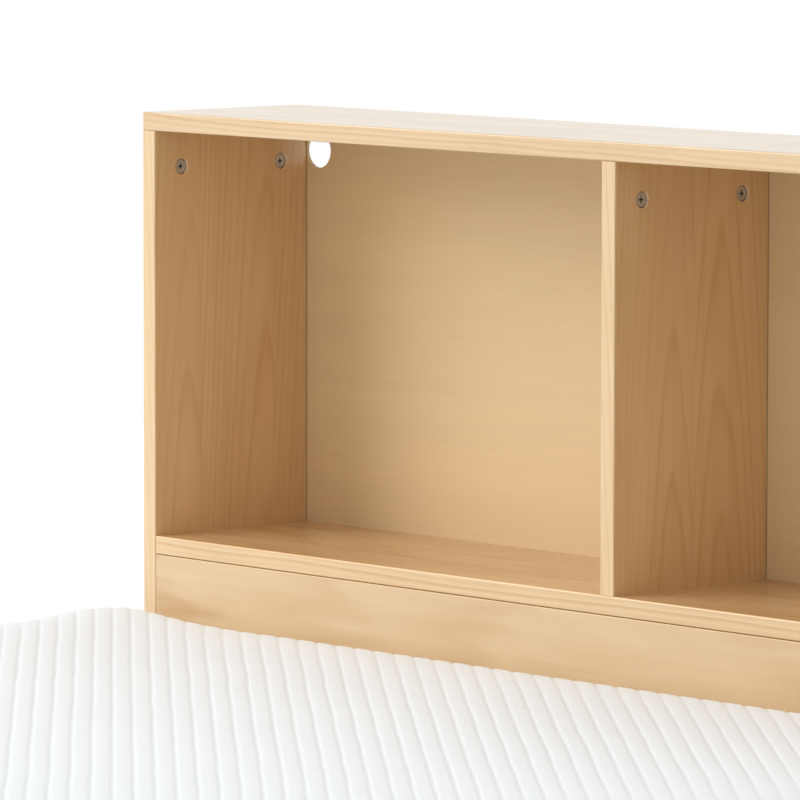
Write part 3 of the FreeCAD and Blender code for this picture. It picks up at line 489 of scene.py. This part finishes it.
def metal(name, colour, roughness, wear, scale):
    """Plated or cast metal with fine pitting and a little uneven colour."""
    material, t = new_material(name)
    place = t.add("ShaderNodeTexCoord", out="Object")
    cloud = t.noise(place, scale, 3) - 0.5
    pit = t.noise(place, scale * 12, 2) - 0.5
    shade = cloud * wear + pit * wear * 0.4 + 1.0
    finish_material(t, {
        "Base Color": t.times(rgba(colour), t.grey(shade)),
        "Metallic": 1.0,
        "Roughness": cloud * 0.18 + roughness,
        "Normal": bump(t, pit + cloud, 0.04 * MM, 0.6),
    })
    return material


def from_cams(t, y, z):
    """Distance from the axis of the nearest cam lock."""
    up = z - CAM_Z
    front, back = (((y - cam) * (y - cam) + up * up).math("SQRT") for cam in CAM_YS)
    return front.math("MINIMUM", back)


def cam_metal(name):
    """Dull cast zinc, with painted shade inside the cross and a painted shadow around the rim."""
    material, t = new_material(name)
    place = t.add("ShaderNodeTexCoord", out="Object")
    xyz = t.add("ShaderNodeSeparateXYZ", None, [place])
    x = xyz.math("ABSOLUTE")
    at_side = x.math("GREATER_THAN", INNER_X / 2)
    depth = at_side * (x - (INNER_X + CAM_RECESS)) + (1 - at_side) * (DIVIDER_X - CAM_RECESS - x)
    # painted shade: darker inside the cross recess, and a dark ring round the rim for the shadow at the
    # bore's edge
    inside = t.step(depth, 0.15 * MM, 0.8 * MM)
    rim = t.step(from_cams(t, xyz.out("Y"), xyz.out("Z")), 6.0 * MM, 7.3 * MM)
    cloud = t.noise(place, 500, 3) - 0.5
    shade = (cloud * 0.35 + 1.0) * (1 - inside * 0.8) * (1 - rim * 0.55)
    finish_material(t, {
        "Base Color": t.times(rgba(srgb(186, 176, 164)), t.grey(shade)),
        "Metallic": 0.4,
        "Roughness": cloud * 0.2 + 0.42,
        "Normal": bump(t, cloud, 0.06 * MM, 0.6),
    })
    return material


def plastic(name, colour):
    """Moulded plastic with a fine spark-eroded grain."""
    material, t = new_material(name)
    place = t.add("ShaderNodeTexCoord", out="Object")
    grain = t.noise(place, 1400, 2) - 0.5
    scuff = t.noise(place, 90, 3) - 0.5
    shade = scuff * 0.25 + 1.0
    finish_material(t, {
        "Base Color": t.times(rgba(colour), t.grey(shade)),
        "Roughness": grain * 0.1 + 0.5,
        "Normal": bump(t, grain, 0.05 * MM, 0.5),
    })
    return material


def dress(names, material):
    """Gives CAD nodes this material, on every slot they have."""
    for name in names:
        mesh = NODES[name].data
        if not mesh.materials:
            mesh.materials.append(material)
        for slot in range(len(mesh.materials)):
            mesh.materials[slot] = material


# ---------------------------------------------------------------- mattress


class MattressForm:
    """The mattress's outline and edge rounding, about its own middle."""

    def __init__(self, low, high, s):
        self.middle = (low + high) / 2
        self.half = (high - low) / 2
        self.s = s
        self.low, self.high = low, high
        self.along = np.array([math.sin(s.angle), -math.cos(s.angle)])
        self.across = np.array([math.cos(s.angle), math.sin(s.angle)])

    def inset(self, p):
        """Distance of points inside the outline, whose sides are drawn in and corners round."""
        hx, hy, c = self.half.x, self.half.y, self.s.corner
        x, y = np.abs(p[..., 0]), np.abs(p[..., 1])
        wide = hx - self.s.draw_in * np.clip(1 - (y / (hy - c)) ** 2, 0, 1)
        long = hy - self.s.draw_in * np.clip(1 - (x / (hx - c)) ** 2, 0, 1)
        qx, qy = x - wide + c, y - long + c
        outside = np.hypot(np.maximum(qx, 0), np.maximum(qy, 0)) + np.minimum(np.maximum(qx, qy), 0)
        return c - outside

    def lift(self, p):
        """Height that the taut corners add to the top."""
        from_corner, width = 35 * MM, 85 * MM
        peak = np.array(self.half.xy) - from_corner
        near = (np.abs(p) - peak) / width
        return self.s.corner_lift * np.exp(-(near**2).sum(axis=-1))

    def outward(self, p):
        """Unit vectors square to the outline, pointing out."""
        step = 0.1 * MM
        gx = self.inset(p + [step, 0]) - self.inset(p - [step, 0])
        gy = self.inset(p + [0, step]) - self.inset(p - [0, step])
        grad = -np.stack([gx, gy], axis=-1)
        return grad / np.maximum(np.linalg.norm(grad, axis=-1, keepdims=True), 1e-9)

    def seam_lines(self, phases):
        """Where the mesh's lines lie across the channels."""
        c = self.s.corner
        extreme = np.array([self.half.x - c, self.half.y - c])
        reach = extreme @ np.abs(self.across) + c
        count = int(reach / self.s.pitch) + 2
        lines = (np.arange(-count, count)[:, None] + np.array(phases)).ravel() * self.s.pitch
        lines = lines[np.abs(lines) < reach - 1.5 * MM]
        rim = reach - np.array([0.1, 0.6]) * MM
        tip = extreme * np.sign(self.across) + c * self.across
        return np.concatenate([-rim, lines, rim[::-1]]), reach, tip

    def line_points(self, phases, edge_steps, middle_steps):
        """Points on lines along the channels, from one side of the outline to the other."""
        lines, reach, tip = self.seam_lines(phases)
        core = (tip @ self.along) * lines / reach
        base = lines[:, None] * self.across

        def at(a):
            return base + a[:, None] * self.along

        deepest = self.inset(at(core))
        turns = np.linspace(0, math.pi / 2, edge_steps)
        levels = self.s.top_round * (1 - np.cos(turns))
        share = np.minimum(1, deepest / (self.s.top_round * 1.25))
        ends = []
        for sign in (-1, 1):
            rows = []
            for level in levels:
                near, far = core.copy(), core + sign * 2.5
                for _ in range(44):
                    half = (near + far) / 2
                    inside = self.inset(at(half)) > level * share
                    near, far = np.where(inside, half, near), np.where(inside, far, half)
                rows.append(near)
            ends.append(np.array(rows))
        start, stop = ends[0], ends[1][::-1]
        run = np.linspace(0, 1, middle_steps + 2)[1:-1][:, None]
        middle = start[-1] * (1 - run) + stop[0] * run
        a = np.concatenate([start, middle, stop]).T
        return base[:, None, :] + a[..., None] * self.along

    def side_levels(self):
        """(how far below the top, how far out of the outline, quilting) down the border."""
        s, tall = self.s, self.high.z - self.low.z
        seam = s.top_round + 14 * MM
        foot = tall - s.bottom_round
        levels = [(s.top_round + 6 * MM, 0.5 * MM, 0.5)]
        for below, out in ((-3, 0.6), (-1.2, -0.2), (0, -1.6), (1.2, -0.2), (3, 0.7)):
            levels.append((seam + below * MM, out * MM, 0))
        for part in (0.25, 0.5, 0.75, 1.0):
            levels.append((seam + (foot - seam) * part, 2.2 * MM * math.sin(math.pi * part), 0))
        for turn in (22.5, 45, 67.5, 90):
            a = math.radians(turn)
            levels.append((foot + s.bottom_round * math.sin(a), -s.bottom_round * (1 - math.cos(a)), 0))
        return levels


def mattress_mesh(form, phases, edge_steps, middle_steps):
    """Points, faces, knit coordinates of the faces' corners and quilting weights, all closed."""
    s = form.s
    flat = form.line_points(phases, edge_steps, middle_steps)
    rows, columns = flat.shape[:2]
    depth = np.clip(form.inset(flat), 0, s.top_round)
    drop = s.top_round - np.sqrt(np.maximum(s.top_round**2 - (s.top_round - depth) ** 2, 0))
    top = form.high.z - s.rise
    flat = flat.reshape(-1, 2)
    points = [np.column_stack([flat, (top - drop).ravel() + form.lift(flat)])]
    quilted = [np.ones(rows * columns)]
    index = np.arange(rows * columns).reshape(rows, columns)
    quads = np.stack([index[:-1, :-1], index[:-1, 1:], index[1:, 1:], index[1:, :-1]], axis=-1)
    faces = [quads.reshape(-1, 4)]
    knit = [np.column_stack([flat @ form.along, flat @ form.across])[faces[0].ravel()]]

    ring = np.concatenate([index[:, 0], index[-1, 1:], index[-2::-1, -1], index[0, -2:0:-1]])
    outline = flat[ring]
    out = form.outward(outline)
    lengths = np.linalg.norm(np.diff(outline, axis=0, append=outline[:1]), axis=1)
    girth = np.concatenate([[0], np.cumsum(lengths)])
    height = top - s.top_round
    for drop, bulge, weight in form.side_levels():
        new = sum(map(len, points)) + np.arange(len(outline))
        level = np.full(len(outline), form.high.z - drop)
        points.append(np.column_stack([outline + out * bulge, level]))
        quilted.append(np.full(len(outline), weight))
        faces.append(np.stack([ring, new, np.roll(new, -1), np.roll(ring, -1)], axis=-1))
        corners = np.empty((len(outline), 4, 2))
        corners[:, :2, 0], corners[:, 2:, 0] = girth[:-1, None], girth[1:, None]
        corners[:, (0, 3), 1], corners[:, (1, 2), 1] = height, form.high.z - drop
        knit.append(corners.reshape(-1, 2))
        ring, height = new, form.high.z - drop
    knit.append((outline + out * bulge)[::-1])
    points = np.concatenate(points)
    points[:, :2] += form.middle[:2]
    faces = np.concatenate(faces).tolist() + [ring[::-1].tolist()]
    return points, faces, np.concatenate(knit), np.concatenate(quilted)


def mesh_object(name, points, faces):
    mesh = bpy.data.meshes.new(name)
    mesh.from_pydata(points.tolist(), [], faces)
    mesh.update()
    obj = bpy.data.objects.new(name, mesh)
    bpy.context.scene.collection.objects.link(obj)
    return obj


def face_outwards(obj):
    """Turns the faces of a closed mesh so that they point out."""
    work = bmesh.new()
    work.from_mesh(obj.data)
    bmesh.ops.recalc_face_normals(work, faces=work.faces)
    work.to_mesh(obj.data)
    work.free()


def swell(form, cap):
    """Fills a coarse copy of the mattress with pressure and returns where its points go."""
    points, faces, _, _ = mattress_mesh(form, BAG_PHASES, BAG_EDGE_STEPS, BAG_MIDDLE_STEPS)
    bag = mesh_object("filling", points, faces)
    face_outwards(bag)
    remesh = bag.modifiers.new("even", "REMESH")
    remesh.mode, remesh.voxel_size = "VOXEL", BAG_VOXEL
    depsgraph = bpy.context.evaluated_depsgraph_get()
    even = bpy.data.meshes.new_from_object(bag.evaluated_get(depsgraph))
    bag.modifiers.clear()
    bag.data = even
    low = min(v.co.z for v in even.vertices)
    held = bag.vertex_groups.new(name="held")
    held.add([v.index for v in even.vertices if v.co.z < low + BAG_HELD], 1.0, "REPLACE")
    before = np.array([v.co for v in even.vertices])
    cloth = bag.modifiers.new("filling", "CLOTH")
    cloth.settings.quality = 6
    cloth.settings.mass = 0.4
    cloth.settings.tension_stiffness = cloth.settings.compression_stiffness = 25
    cloth.settings.bending_stiffness = 2
    cloth.settings.use_pressure = True
    cloth.settings.uniform_pressure_force = 4
    cloth.settings.effector_weights.gravity = 0
    cloth.settings.vertex_group_mass = "held"
    scene = bpy.context.scene
    for number in range(1, BAG_FRAMES + 1):
        scene.frame_set(number)
    depsgraph = bpy.context.evaluated_depsgraph_get()
    shaped = bpy.data.meshes.new_from_object(bag.evaluated_get(depsgraph))
    after = np.array([v.co for v in shaped.vertices])
    scene.frame_set(1)
    bpy.data.objects.remove(bag)
    move = (after - before) * np.array([0.3, 0.3, 1.0])  # the border tape holds the sides in
    size = np.linalg.norm(move, axis=1, keepdims=True)
    return before, move * np.minimum(1, cap / np.maximum(size, 1e-9))


def carried(points, before, move, reach=6):
    """The filling's movement, read at other points from the nearest ones of the coarse copy."""
    tree = kdtree.KDTree(len(before))
    for i, place in enumerate(before):
        tree.insert(place, i)
    tree.balance()
    result = np.zeros((len(points), 3))
    for i, place in enumerate(points):
        near = tree.find_n(place, reach)
        weights = np.array([1 / (d * d + 1e-6) for _, _, d in near])
        result[i] = (move[[k for _, k, _ in near]] * weights[:, None]).sum(axis=0) / weights.sum()
    return result


def channel_tree(s, material):
    """Geometry nodes that raise the channels between their seams, along the surface's normal."""
    group = bpy.data.node_groups.new("Quilted channels", "GeometryNodeTree")
    group.interface.new_socket("Geometry", in_out="INPUT", socket_type="NodeSocketGeometry")
    for name, kind, value in (
        ("Pitch", "NodeSocketFloat", s.pitch), ("Rise", "NodeSocketFloat", s.rise),
        ("Angle", "NodeSocketFloat", s.angle), ("Roundness", "NodeSocketFloat", ROUNDNESS),
        ("Wander", "NodeSocketFloat", s.wander),
        ("Middle", "NodeSocketVector", (0, 0, 0)), ("Cover", "NodeSocketMaterial", material),
    ):
        socket = group.interface.new_socket(name, in_out="INPUT", socket_type=kind)
        socket.default_value = value
    group.interface.new_socket("Geometry", in_out="OUTPUT", socket_type="NodeSocketGeometry")
    t = Tree(group)
    given = t.add("NodeGroupInput")
    place = t.add("GeometryNodeInputPosition")
    here = t.add("ShaderNodeVectorMath", {"operation": "SUBTRACT"}, [place, given.out("Middle")])
    xyz = t.add("ShaderNodeSeparateXYZ", None, [here])
    angle = given.out("Angle")
    across = xyz * angle.math("COSINE") + xyz.out("Y") * angle.math("SINE")
    phase = (across / given.out("Pitch")).math("FRACT")
    hump = 1 - (phase * 2 - 1).math("ABSOLUTE") ** given.out("Roundness")
    weight = t.add("GeometryNodeInputNamedAttribute", {"data_type": "FLOAT"}, {"Name": "quilted"})
    lift = hump * given.out("Rise") * weight
    normal = t.add("GeometryNodeInputNormal")
    rise = t.add("ShaderNodeVectorMath", {"operation": "SCALE"}, {"Vector": normal, "Scale": lift})
    stray = (t.noise(here, 8.0, 1.0) - 0.5) * given.out("Wander") * 2.0 * weight
    aside = t.stretched(angle.math("COSINE") * stray, angle.math("SINE") * stray, 0.0)
    offset = t.add("ShaderNodeVectorMath", {"operation": "ADD"}, [rise, aside])
    shape = {"Geometry": given.out("Geometry"), "Offset": offset}
    real = t.add("GeometryNodeRealizeInstances", None, [t.add("GeometryNodeSetPosition", None, shape)])
    covered = t.add("GeometryNodeSetMaterial", None, {"Geometry": real, "Material": given.out("Cover")})
    t.add("NodeGroupOutput", None, [covered])
    return group


def through_nodes(obj, group, inputs):
    """Runs a node group over an object and returns the result as one plain mesh object."""
    modifier = obj.modifiers.new(group.name, "NODES")
    modifier.node_group = group
    for item in group.interface.items_tree:
        if item.in_out == "INPUT" and item.name in inputs:
            modifier[item.identifier] = inputs[item.name]
    depsgraph = bpy.context.evaluated_depsgraph_get()
    mesh = bpy.data.meshes.new_from_object(obj.evaluated_get(depsgraph))
    obj.modifiers.clear()
    obj.data = mesh
    return obj


def knit(name):
    """White jersey knit: rows of fine ribs across each channel, a few loose puckers."""
    s = bpy.context.scene.bed_mattress
    material, t = new_material(name)
    uv = t.add("ShaderNodeUVMap", {"uv_map": "knit"})
    xyz = t.add("ShaderNodeSeparateXYZ", None, [uv])
    a, b = xyz.out("X"), xyz.out("Y")
    wander = t.noise(t.stretched(a * 18, b * 18, 0.0), detail=2) - 0.5
    course = ((a + wander * (0.6 * MM)) * (math.tau / COURSE)).math("SINE")
    wale = ((b + wander * (0.4 * MM)) * (math.tau / WALE)).math("SINE")
    loops = course * 0.6 + course * wale * 0.4
    pucker = t.noise(t.stretched(a * 75, b * 26, 3.0), detail=2) - 0.5
    fluff = t.noise(t.stretched(a * 900, b * 900, 7.0), detail=2) - 0.5
    cloud = t.noise(t.stretched(a * 5, b * 5, 1.0), detail=2) - 0.5
    patch = t.step(t.noise(t.stretched(a * 7, b * 30, 5.0), detail=1), 0.42, 0.66)
    crease = ((a + pucker * (4 * MM)) * (math.tau / CREASE)).math("SINE") * patch
    shade = loops * 0.012 + fluff * 0.03 + cloud * 0.02 + 0.985
    height = loops * 0.25 + fluff * 0.15 + pucker * 1.1 + crease * 0.55
    finish_material(t, {
        "Base Color": t.times(rgba(s.cover), t.grey(shade)),
        "Roughness": fluff * 0.1 + 0.85,
        "Sheen Weight": 0.15,
        "Sheen Roughness": 0.5,
        "Normal": bump(t, height, 0.35 * MM, 0.7),
    })
    return material


# ---------------------------------------------------------------- operators


class BED_OT_bookcase(bpy.types.Operator):
    """Lacquered pine for the bookcase's boards, each with its own staves"""

    bl_idname = "bed.bookcase"
    bl_label = "Bookcase boards"

    def execute(self, context):
        upright = {
            "along": "Z", "across": "Y", "painted_tone": PAINTED_LIGHT_TINTS["upright"], "stave": UPRIGHT_STAVE,
            "taper": UPRIGHT_TAPER, "soft": THIN_LATE_WOOD, "bend": UPRIGHT_BEND,
        }
        boards = {
            "top_board": {
                "along": "X", "across": "Y", "coat": TOP_COAT, "painted_tone": PAINTED_LIGHT_TINTS["top"],
                "front": PAINTED_LIGHT_TINTS["top_edge"],
            },
            "side_panel_left": {**upright, "bored": -INNER_X},
            "side_panel_right": {**upright, "bored": INNER_X},
            "divider": {**upright, "bored": DIVIDER_X},
            "shelf": {"along": "X", "across": "Y", "painted_tone": PAINTED_LIGHT_TINTS["flat"], "painted_joints": True},
            "front_panel": {
                "along": "X", "across": "Z", "front": PAINTED_LIGHT_TINTS["panel_face"], "painted_joints": True,
            },
            "shelf_stretcher": {"along": "X", "across": "Z"},
            "low_stretcher": {"along": "X", "across": "Z"},
        }
        for seed, (name, look) in enumerate(boards.items(), 1):
            dress([name], pine(f"honey_pine_{name}", seed=float(seed), **look))
        return {"FINISHED"}


class BED_OT_back_panel(bpy.types.Operator):
    """Plain veneered plywood for the bookcase's back"""

    bl_idname = "bed.back_panel"
    bl_label = "Back panel"

    def execute(self, context):
        dress(["back_panel"], plywood("pine_plywood", 3.0))
        return {"FINISHED"}


class BED_OT_frame(bpy.types.Operator):
    """Pine for the rails, legs, cleats, beam and slats"""

    bl_idname = "bed.frame"
    bl_label = "Bed frame"

    def execute(self, context):
        for i, name in enumerate(("side_rail_left", "side_rail_right")):
            dress([name], pine(f"pine_{name}", "Y", "Z", 9.0 + i))
        for i, name in enumerate(("foot_rail", "head_rail")):
            dress([name], pine(f"pine_{name}", "X", "Z", 11.0 + i))
        legs = ["leg_head_left", "leg_head_right", "leg_foot_left", "leg_foot_right"]
        dress(legs, pine("pine_legs", "Z", "X", 13.0))
        dress(["centre_leg_1", "centre_leg_2"], pine("pine_centre_legs", "Z", "Y", 14.0))
        dress(["cleat_left", "cleat_right", "centre_beam"], pine("pine_cleats", "Y", "Z", 15.0))
        slats = sorted(name for name in NODES if name.startswith("slat_") and name != "slat_screws")
        for shade in range(3):
            dress(slats[shade::3], pine(f"pine_slats_{shade + 1}", "X", "Y", 16.0 + shade))
        return {"FINISHED"}


class BED_OT_fittings(bpy.types.Operator):
    """Cast cams, zinc-plated bolts and screws, hangers, dowels and glides"""

    bl_idname = "bed.fittings"
    bl_label = "Fittings"

    def execute(self, context):
        dress(["cam_locks"], cam_metal("cast_cam"))
        bright = metal("zinc_plate", srgb(196, 196, 192), 0.30, 0.18, 160)
        dress([
            "cam_bolts", "side_bolts", "side_nuts", "divider_screws", "back_screws", "leg_bolts",
            "leg_nuts", "case_bolts", "case_washers", "case_nuts", "cleat_screws",
            "hanger_screws", "centre_leg_studs", "slat_screws", "glide_nails",
        ], bright)
        steel = metal("hanger_steel", srgb(170, 172, 174), 0.42, 0.22, 90)
        dress(["beam_hanger_foot", "beam_hanger_head"], steel)
        dress(["dowels"], beech("beech"))
        dress(["glides"], plastic("glide_plastic", srgb(96, 78, 62)))
        return {"FINISHED"}


class BED_OT_mattress(bpy.types.Operator):
    """The quilted mattress, filled by a cloth simulation and sewn in slanting channels"""

    bl_idname = "bed.mattress"
    bl_label = "Mattress"

    def execute(self, context):
        s = context.scene.bed_mattress
        low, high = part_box("mattress")
        form = MattressForm(Vector(low), Vector(high), s)
        points, faces, knit_places, quilted = mattress_mesh(form, PHASES, EDGE_STEPS, MIDDLE_STEPS)
        before, move = swell(form, s.crown)
        points += carried(points, before, move)
        obj = mesh_object("quilted_mattress", points, faces)
        mesh = obj.data
        weight = mesh.attributes.new("quilted", "FLOAT", "POINT")
        weight.data.foreach_set("value", quilted)
        mesh.uv_layers.new(name="knit").data.foreach_set("uv", knit_places.astype(np.float32).ravel())
        for polygon in mesh.polygons:
            polygon.use_smooth = True
        cover = knit("knit_cover")
        through_nodes(obj, channel_tree(s, cover), {
            "Pitch": s.pitch, "Rise": s.rise, "Angle": s.angle, "Wander": s.wander,
            "Middle": form.middle, "Cover": cover,
        })
        if not obj.data.materials:
            obj.data.materials.append(cover)
        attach(obj, "mattress")
        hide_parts("mattress")
        return {"FINISHED"}


class BED_OT_stage(bpy.types.Operator):
    """Camera, pale floor, white room and soft studio light"""

    bl_idname = "bed.stage"
    bl_label = "Stage"

    def execute(self, context):
        scene, s = context.scene, context.scene.bed_stage
        self.camera(scene)
        self.floor(s)
        self.world(scene, s)
        self.light("key", s.key, KEY_PLACE, KEY_TARGET, KEY_SIZE)
        self.light("overhead", s.overhead, OVERHEAD_PLACE, OVERHEAD_TARGET, OVERHEAD_SIZE)
        scene.view_settings.view_transform = "Standard"
        return {"FINISHED"}

    @staticmethod
    def camera(scene):
        right = Vector((math.cos(CAMERA_TURN), math.sin(CAMERA_TURN), 0))
        level = Vector((-right.y, right.x, 0)) * math.cos(CAMERA_TIP)
        forward = level - Vector((0, 0, math.sin(CAMERA_TIP)))
        up = right.cross(forward)
        view = Matrix((right, up, -forward)).transposed() @ Matrix.Rotation(CAMERA_ROLL, 3, "Z")
        data = bpy.data.cameras.new("camera")
        data.lens, data.sensor_width, data.clip_end = CAMERA_LENS, CAMERA_SENSOR, CAMERA_REACH
        camera = bpy.data.objects.new("camera", data)
        camera.matrix_world = Matrix.Translation(CAMERA_PLACE) @ view.to_4x4()
        scene.collection.objects.link(camera)
        scene.camera = camera

    @staticmethod
    def floor(s):
        corners = np.array([(-1, -1, 0), (1, -1, 0), (1, 1, 0), (-1, 1, 0)]) * FLOOR_REACH
        floor = mesh_object("floor", corners, [(0, 1, 2, 3)])
        material, t = new_material("floor")
        place = t.add("ShaderNodeTexCoord", out="Object")
        xyz = t.add("ShaderNodeSeparateXYZ", None, [place])
        away = (xyz * xyz + xyz.out("Y") * xyz.out("Y")).math("SQRT")
        grain = t.noise(place, 35, 3) - 0.5
        colour = t.times(rgba(s.floor), t.grey(grain * 0.02 + 1.0))
        plain = t.add("ShaderNodeBsdfPrincipled", None, {"Base Color": colour, "Roughness": 0.7})
        white = t.add("ShaderNodeEmission", None, {"Color": (1, 1, 1, 1), "Strength": 1.0})
        fade = seen_rays(t) * t.step(away, *FLOOR_FADE)
        shader = t.add("ShaderNodeMixShader", None, [fade, plain, white])
        t.add("ShaderNodeOutputMaterial", None, {"Surface": shader})
        floor.data.materials.append(material)

    @staticmethod
    def world(scene, s):
        world = bpy.data.worlds.new("room")
        scene.world = world
        world.use_nodes = True
        world.node_tree.nodes.clear()
        t = Tree(world.node_tree)
        room = t.add("ShaderNodeBackground", None, {"Color": (1, 1, 1, 1), "Strength": s.ambient})
        white = t.add("ShaderNodeBackground", None, {"Color": (1, 1, 1, 1), "Strength": 1.0})
        shader = t.add("ShaderNodeMixShader", None, [seen_rays(t), room, white])
        t.add("ShaderNodeOutputWorld", None, {"Surface": shader})

    @staticmethod
    def light(name, power, place, target, size):
        data = bpy.data.lights.new(name, "AREA")
        data.shape, data.size, data.energy = "DISK", size, power
        lamp = bpy.data.objects.new(name, data)
        lamp.location = place
        lamp.rotation_euler = (Vector(target) - Vector(place)).to_track_quat("-Z", "Y").to_euler()
        lamp.visible_camera = False
        bpy.context.scene.collection.objects.link(lamp)


class BED_PT_panel(bpy.types.Panel):
    """Lists the bed's pieces and their settings"""

    bl_idname = "BED_PT_panel"
    bl_label = "Bookcase headboard bed"
    bl_space_type = "VIEW_3D"
    bl_region_type = "UI"
    bl_category = "Bed"

    def draw(self, context):
        layout = self.layout
        for settings in (context.scene.bed_wood, context.scene.bed_mattress, context.scene.bed_stage):
            box = layout.box()
            for name in settings.bl_rna.properties.keys():
                if name not in ("rna_type", "name"):
                    box.prop(settings, name)
        for operator in OPERATORS:
            layout.operator(operator.bl_idname)


SETTINGS = {
    "bed_wood": BedWoodSettings, "bed_mattress": BedMattressSettings, "bed_stage": BedStageSettings,
}
OPERATORS = (
    BED_OT_bookcase, BED_OT_back_panel, BED_OT_frame, BED_OT_fittings, BED_OT_mattress, BED_OT_stage,
)


def register():
    for group in SETTINGS.values():
        bpy.utils.register_class(group)
    for name, group in SETTINGS.items():
        setattr(bpy.types.Scene, name, bpy.props.PointerProperty(type=group))
    for item in (*OPERATORS, BED_PT_panel):
        bpy.utils.register_class(item)


def unregister():
    for item in (BED_PT_panel, *reversed(OPERATORS)):
        bpy.utils.unregister_class(item)
    for name, group in reversed(SETTINGS.items()):
        delattr(bpy.types.Scene, name)
        bpy.utils.unregister_class(group)


def main():
    register()
    bpy.ops.bed.bookcase()
    bpy.ops.bed.back_panel()
    bpy.ops.bed.frame()
    bpy.ops.bed.fittings()
    bpy.ops.bed.mattress()
    bpy.ops.bed.stage()


if __name__ == "__main__":
    main()
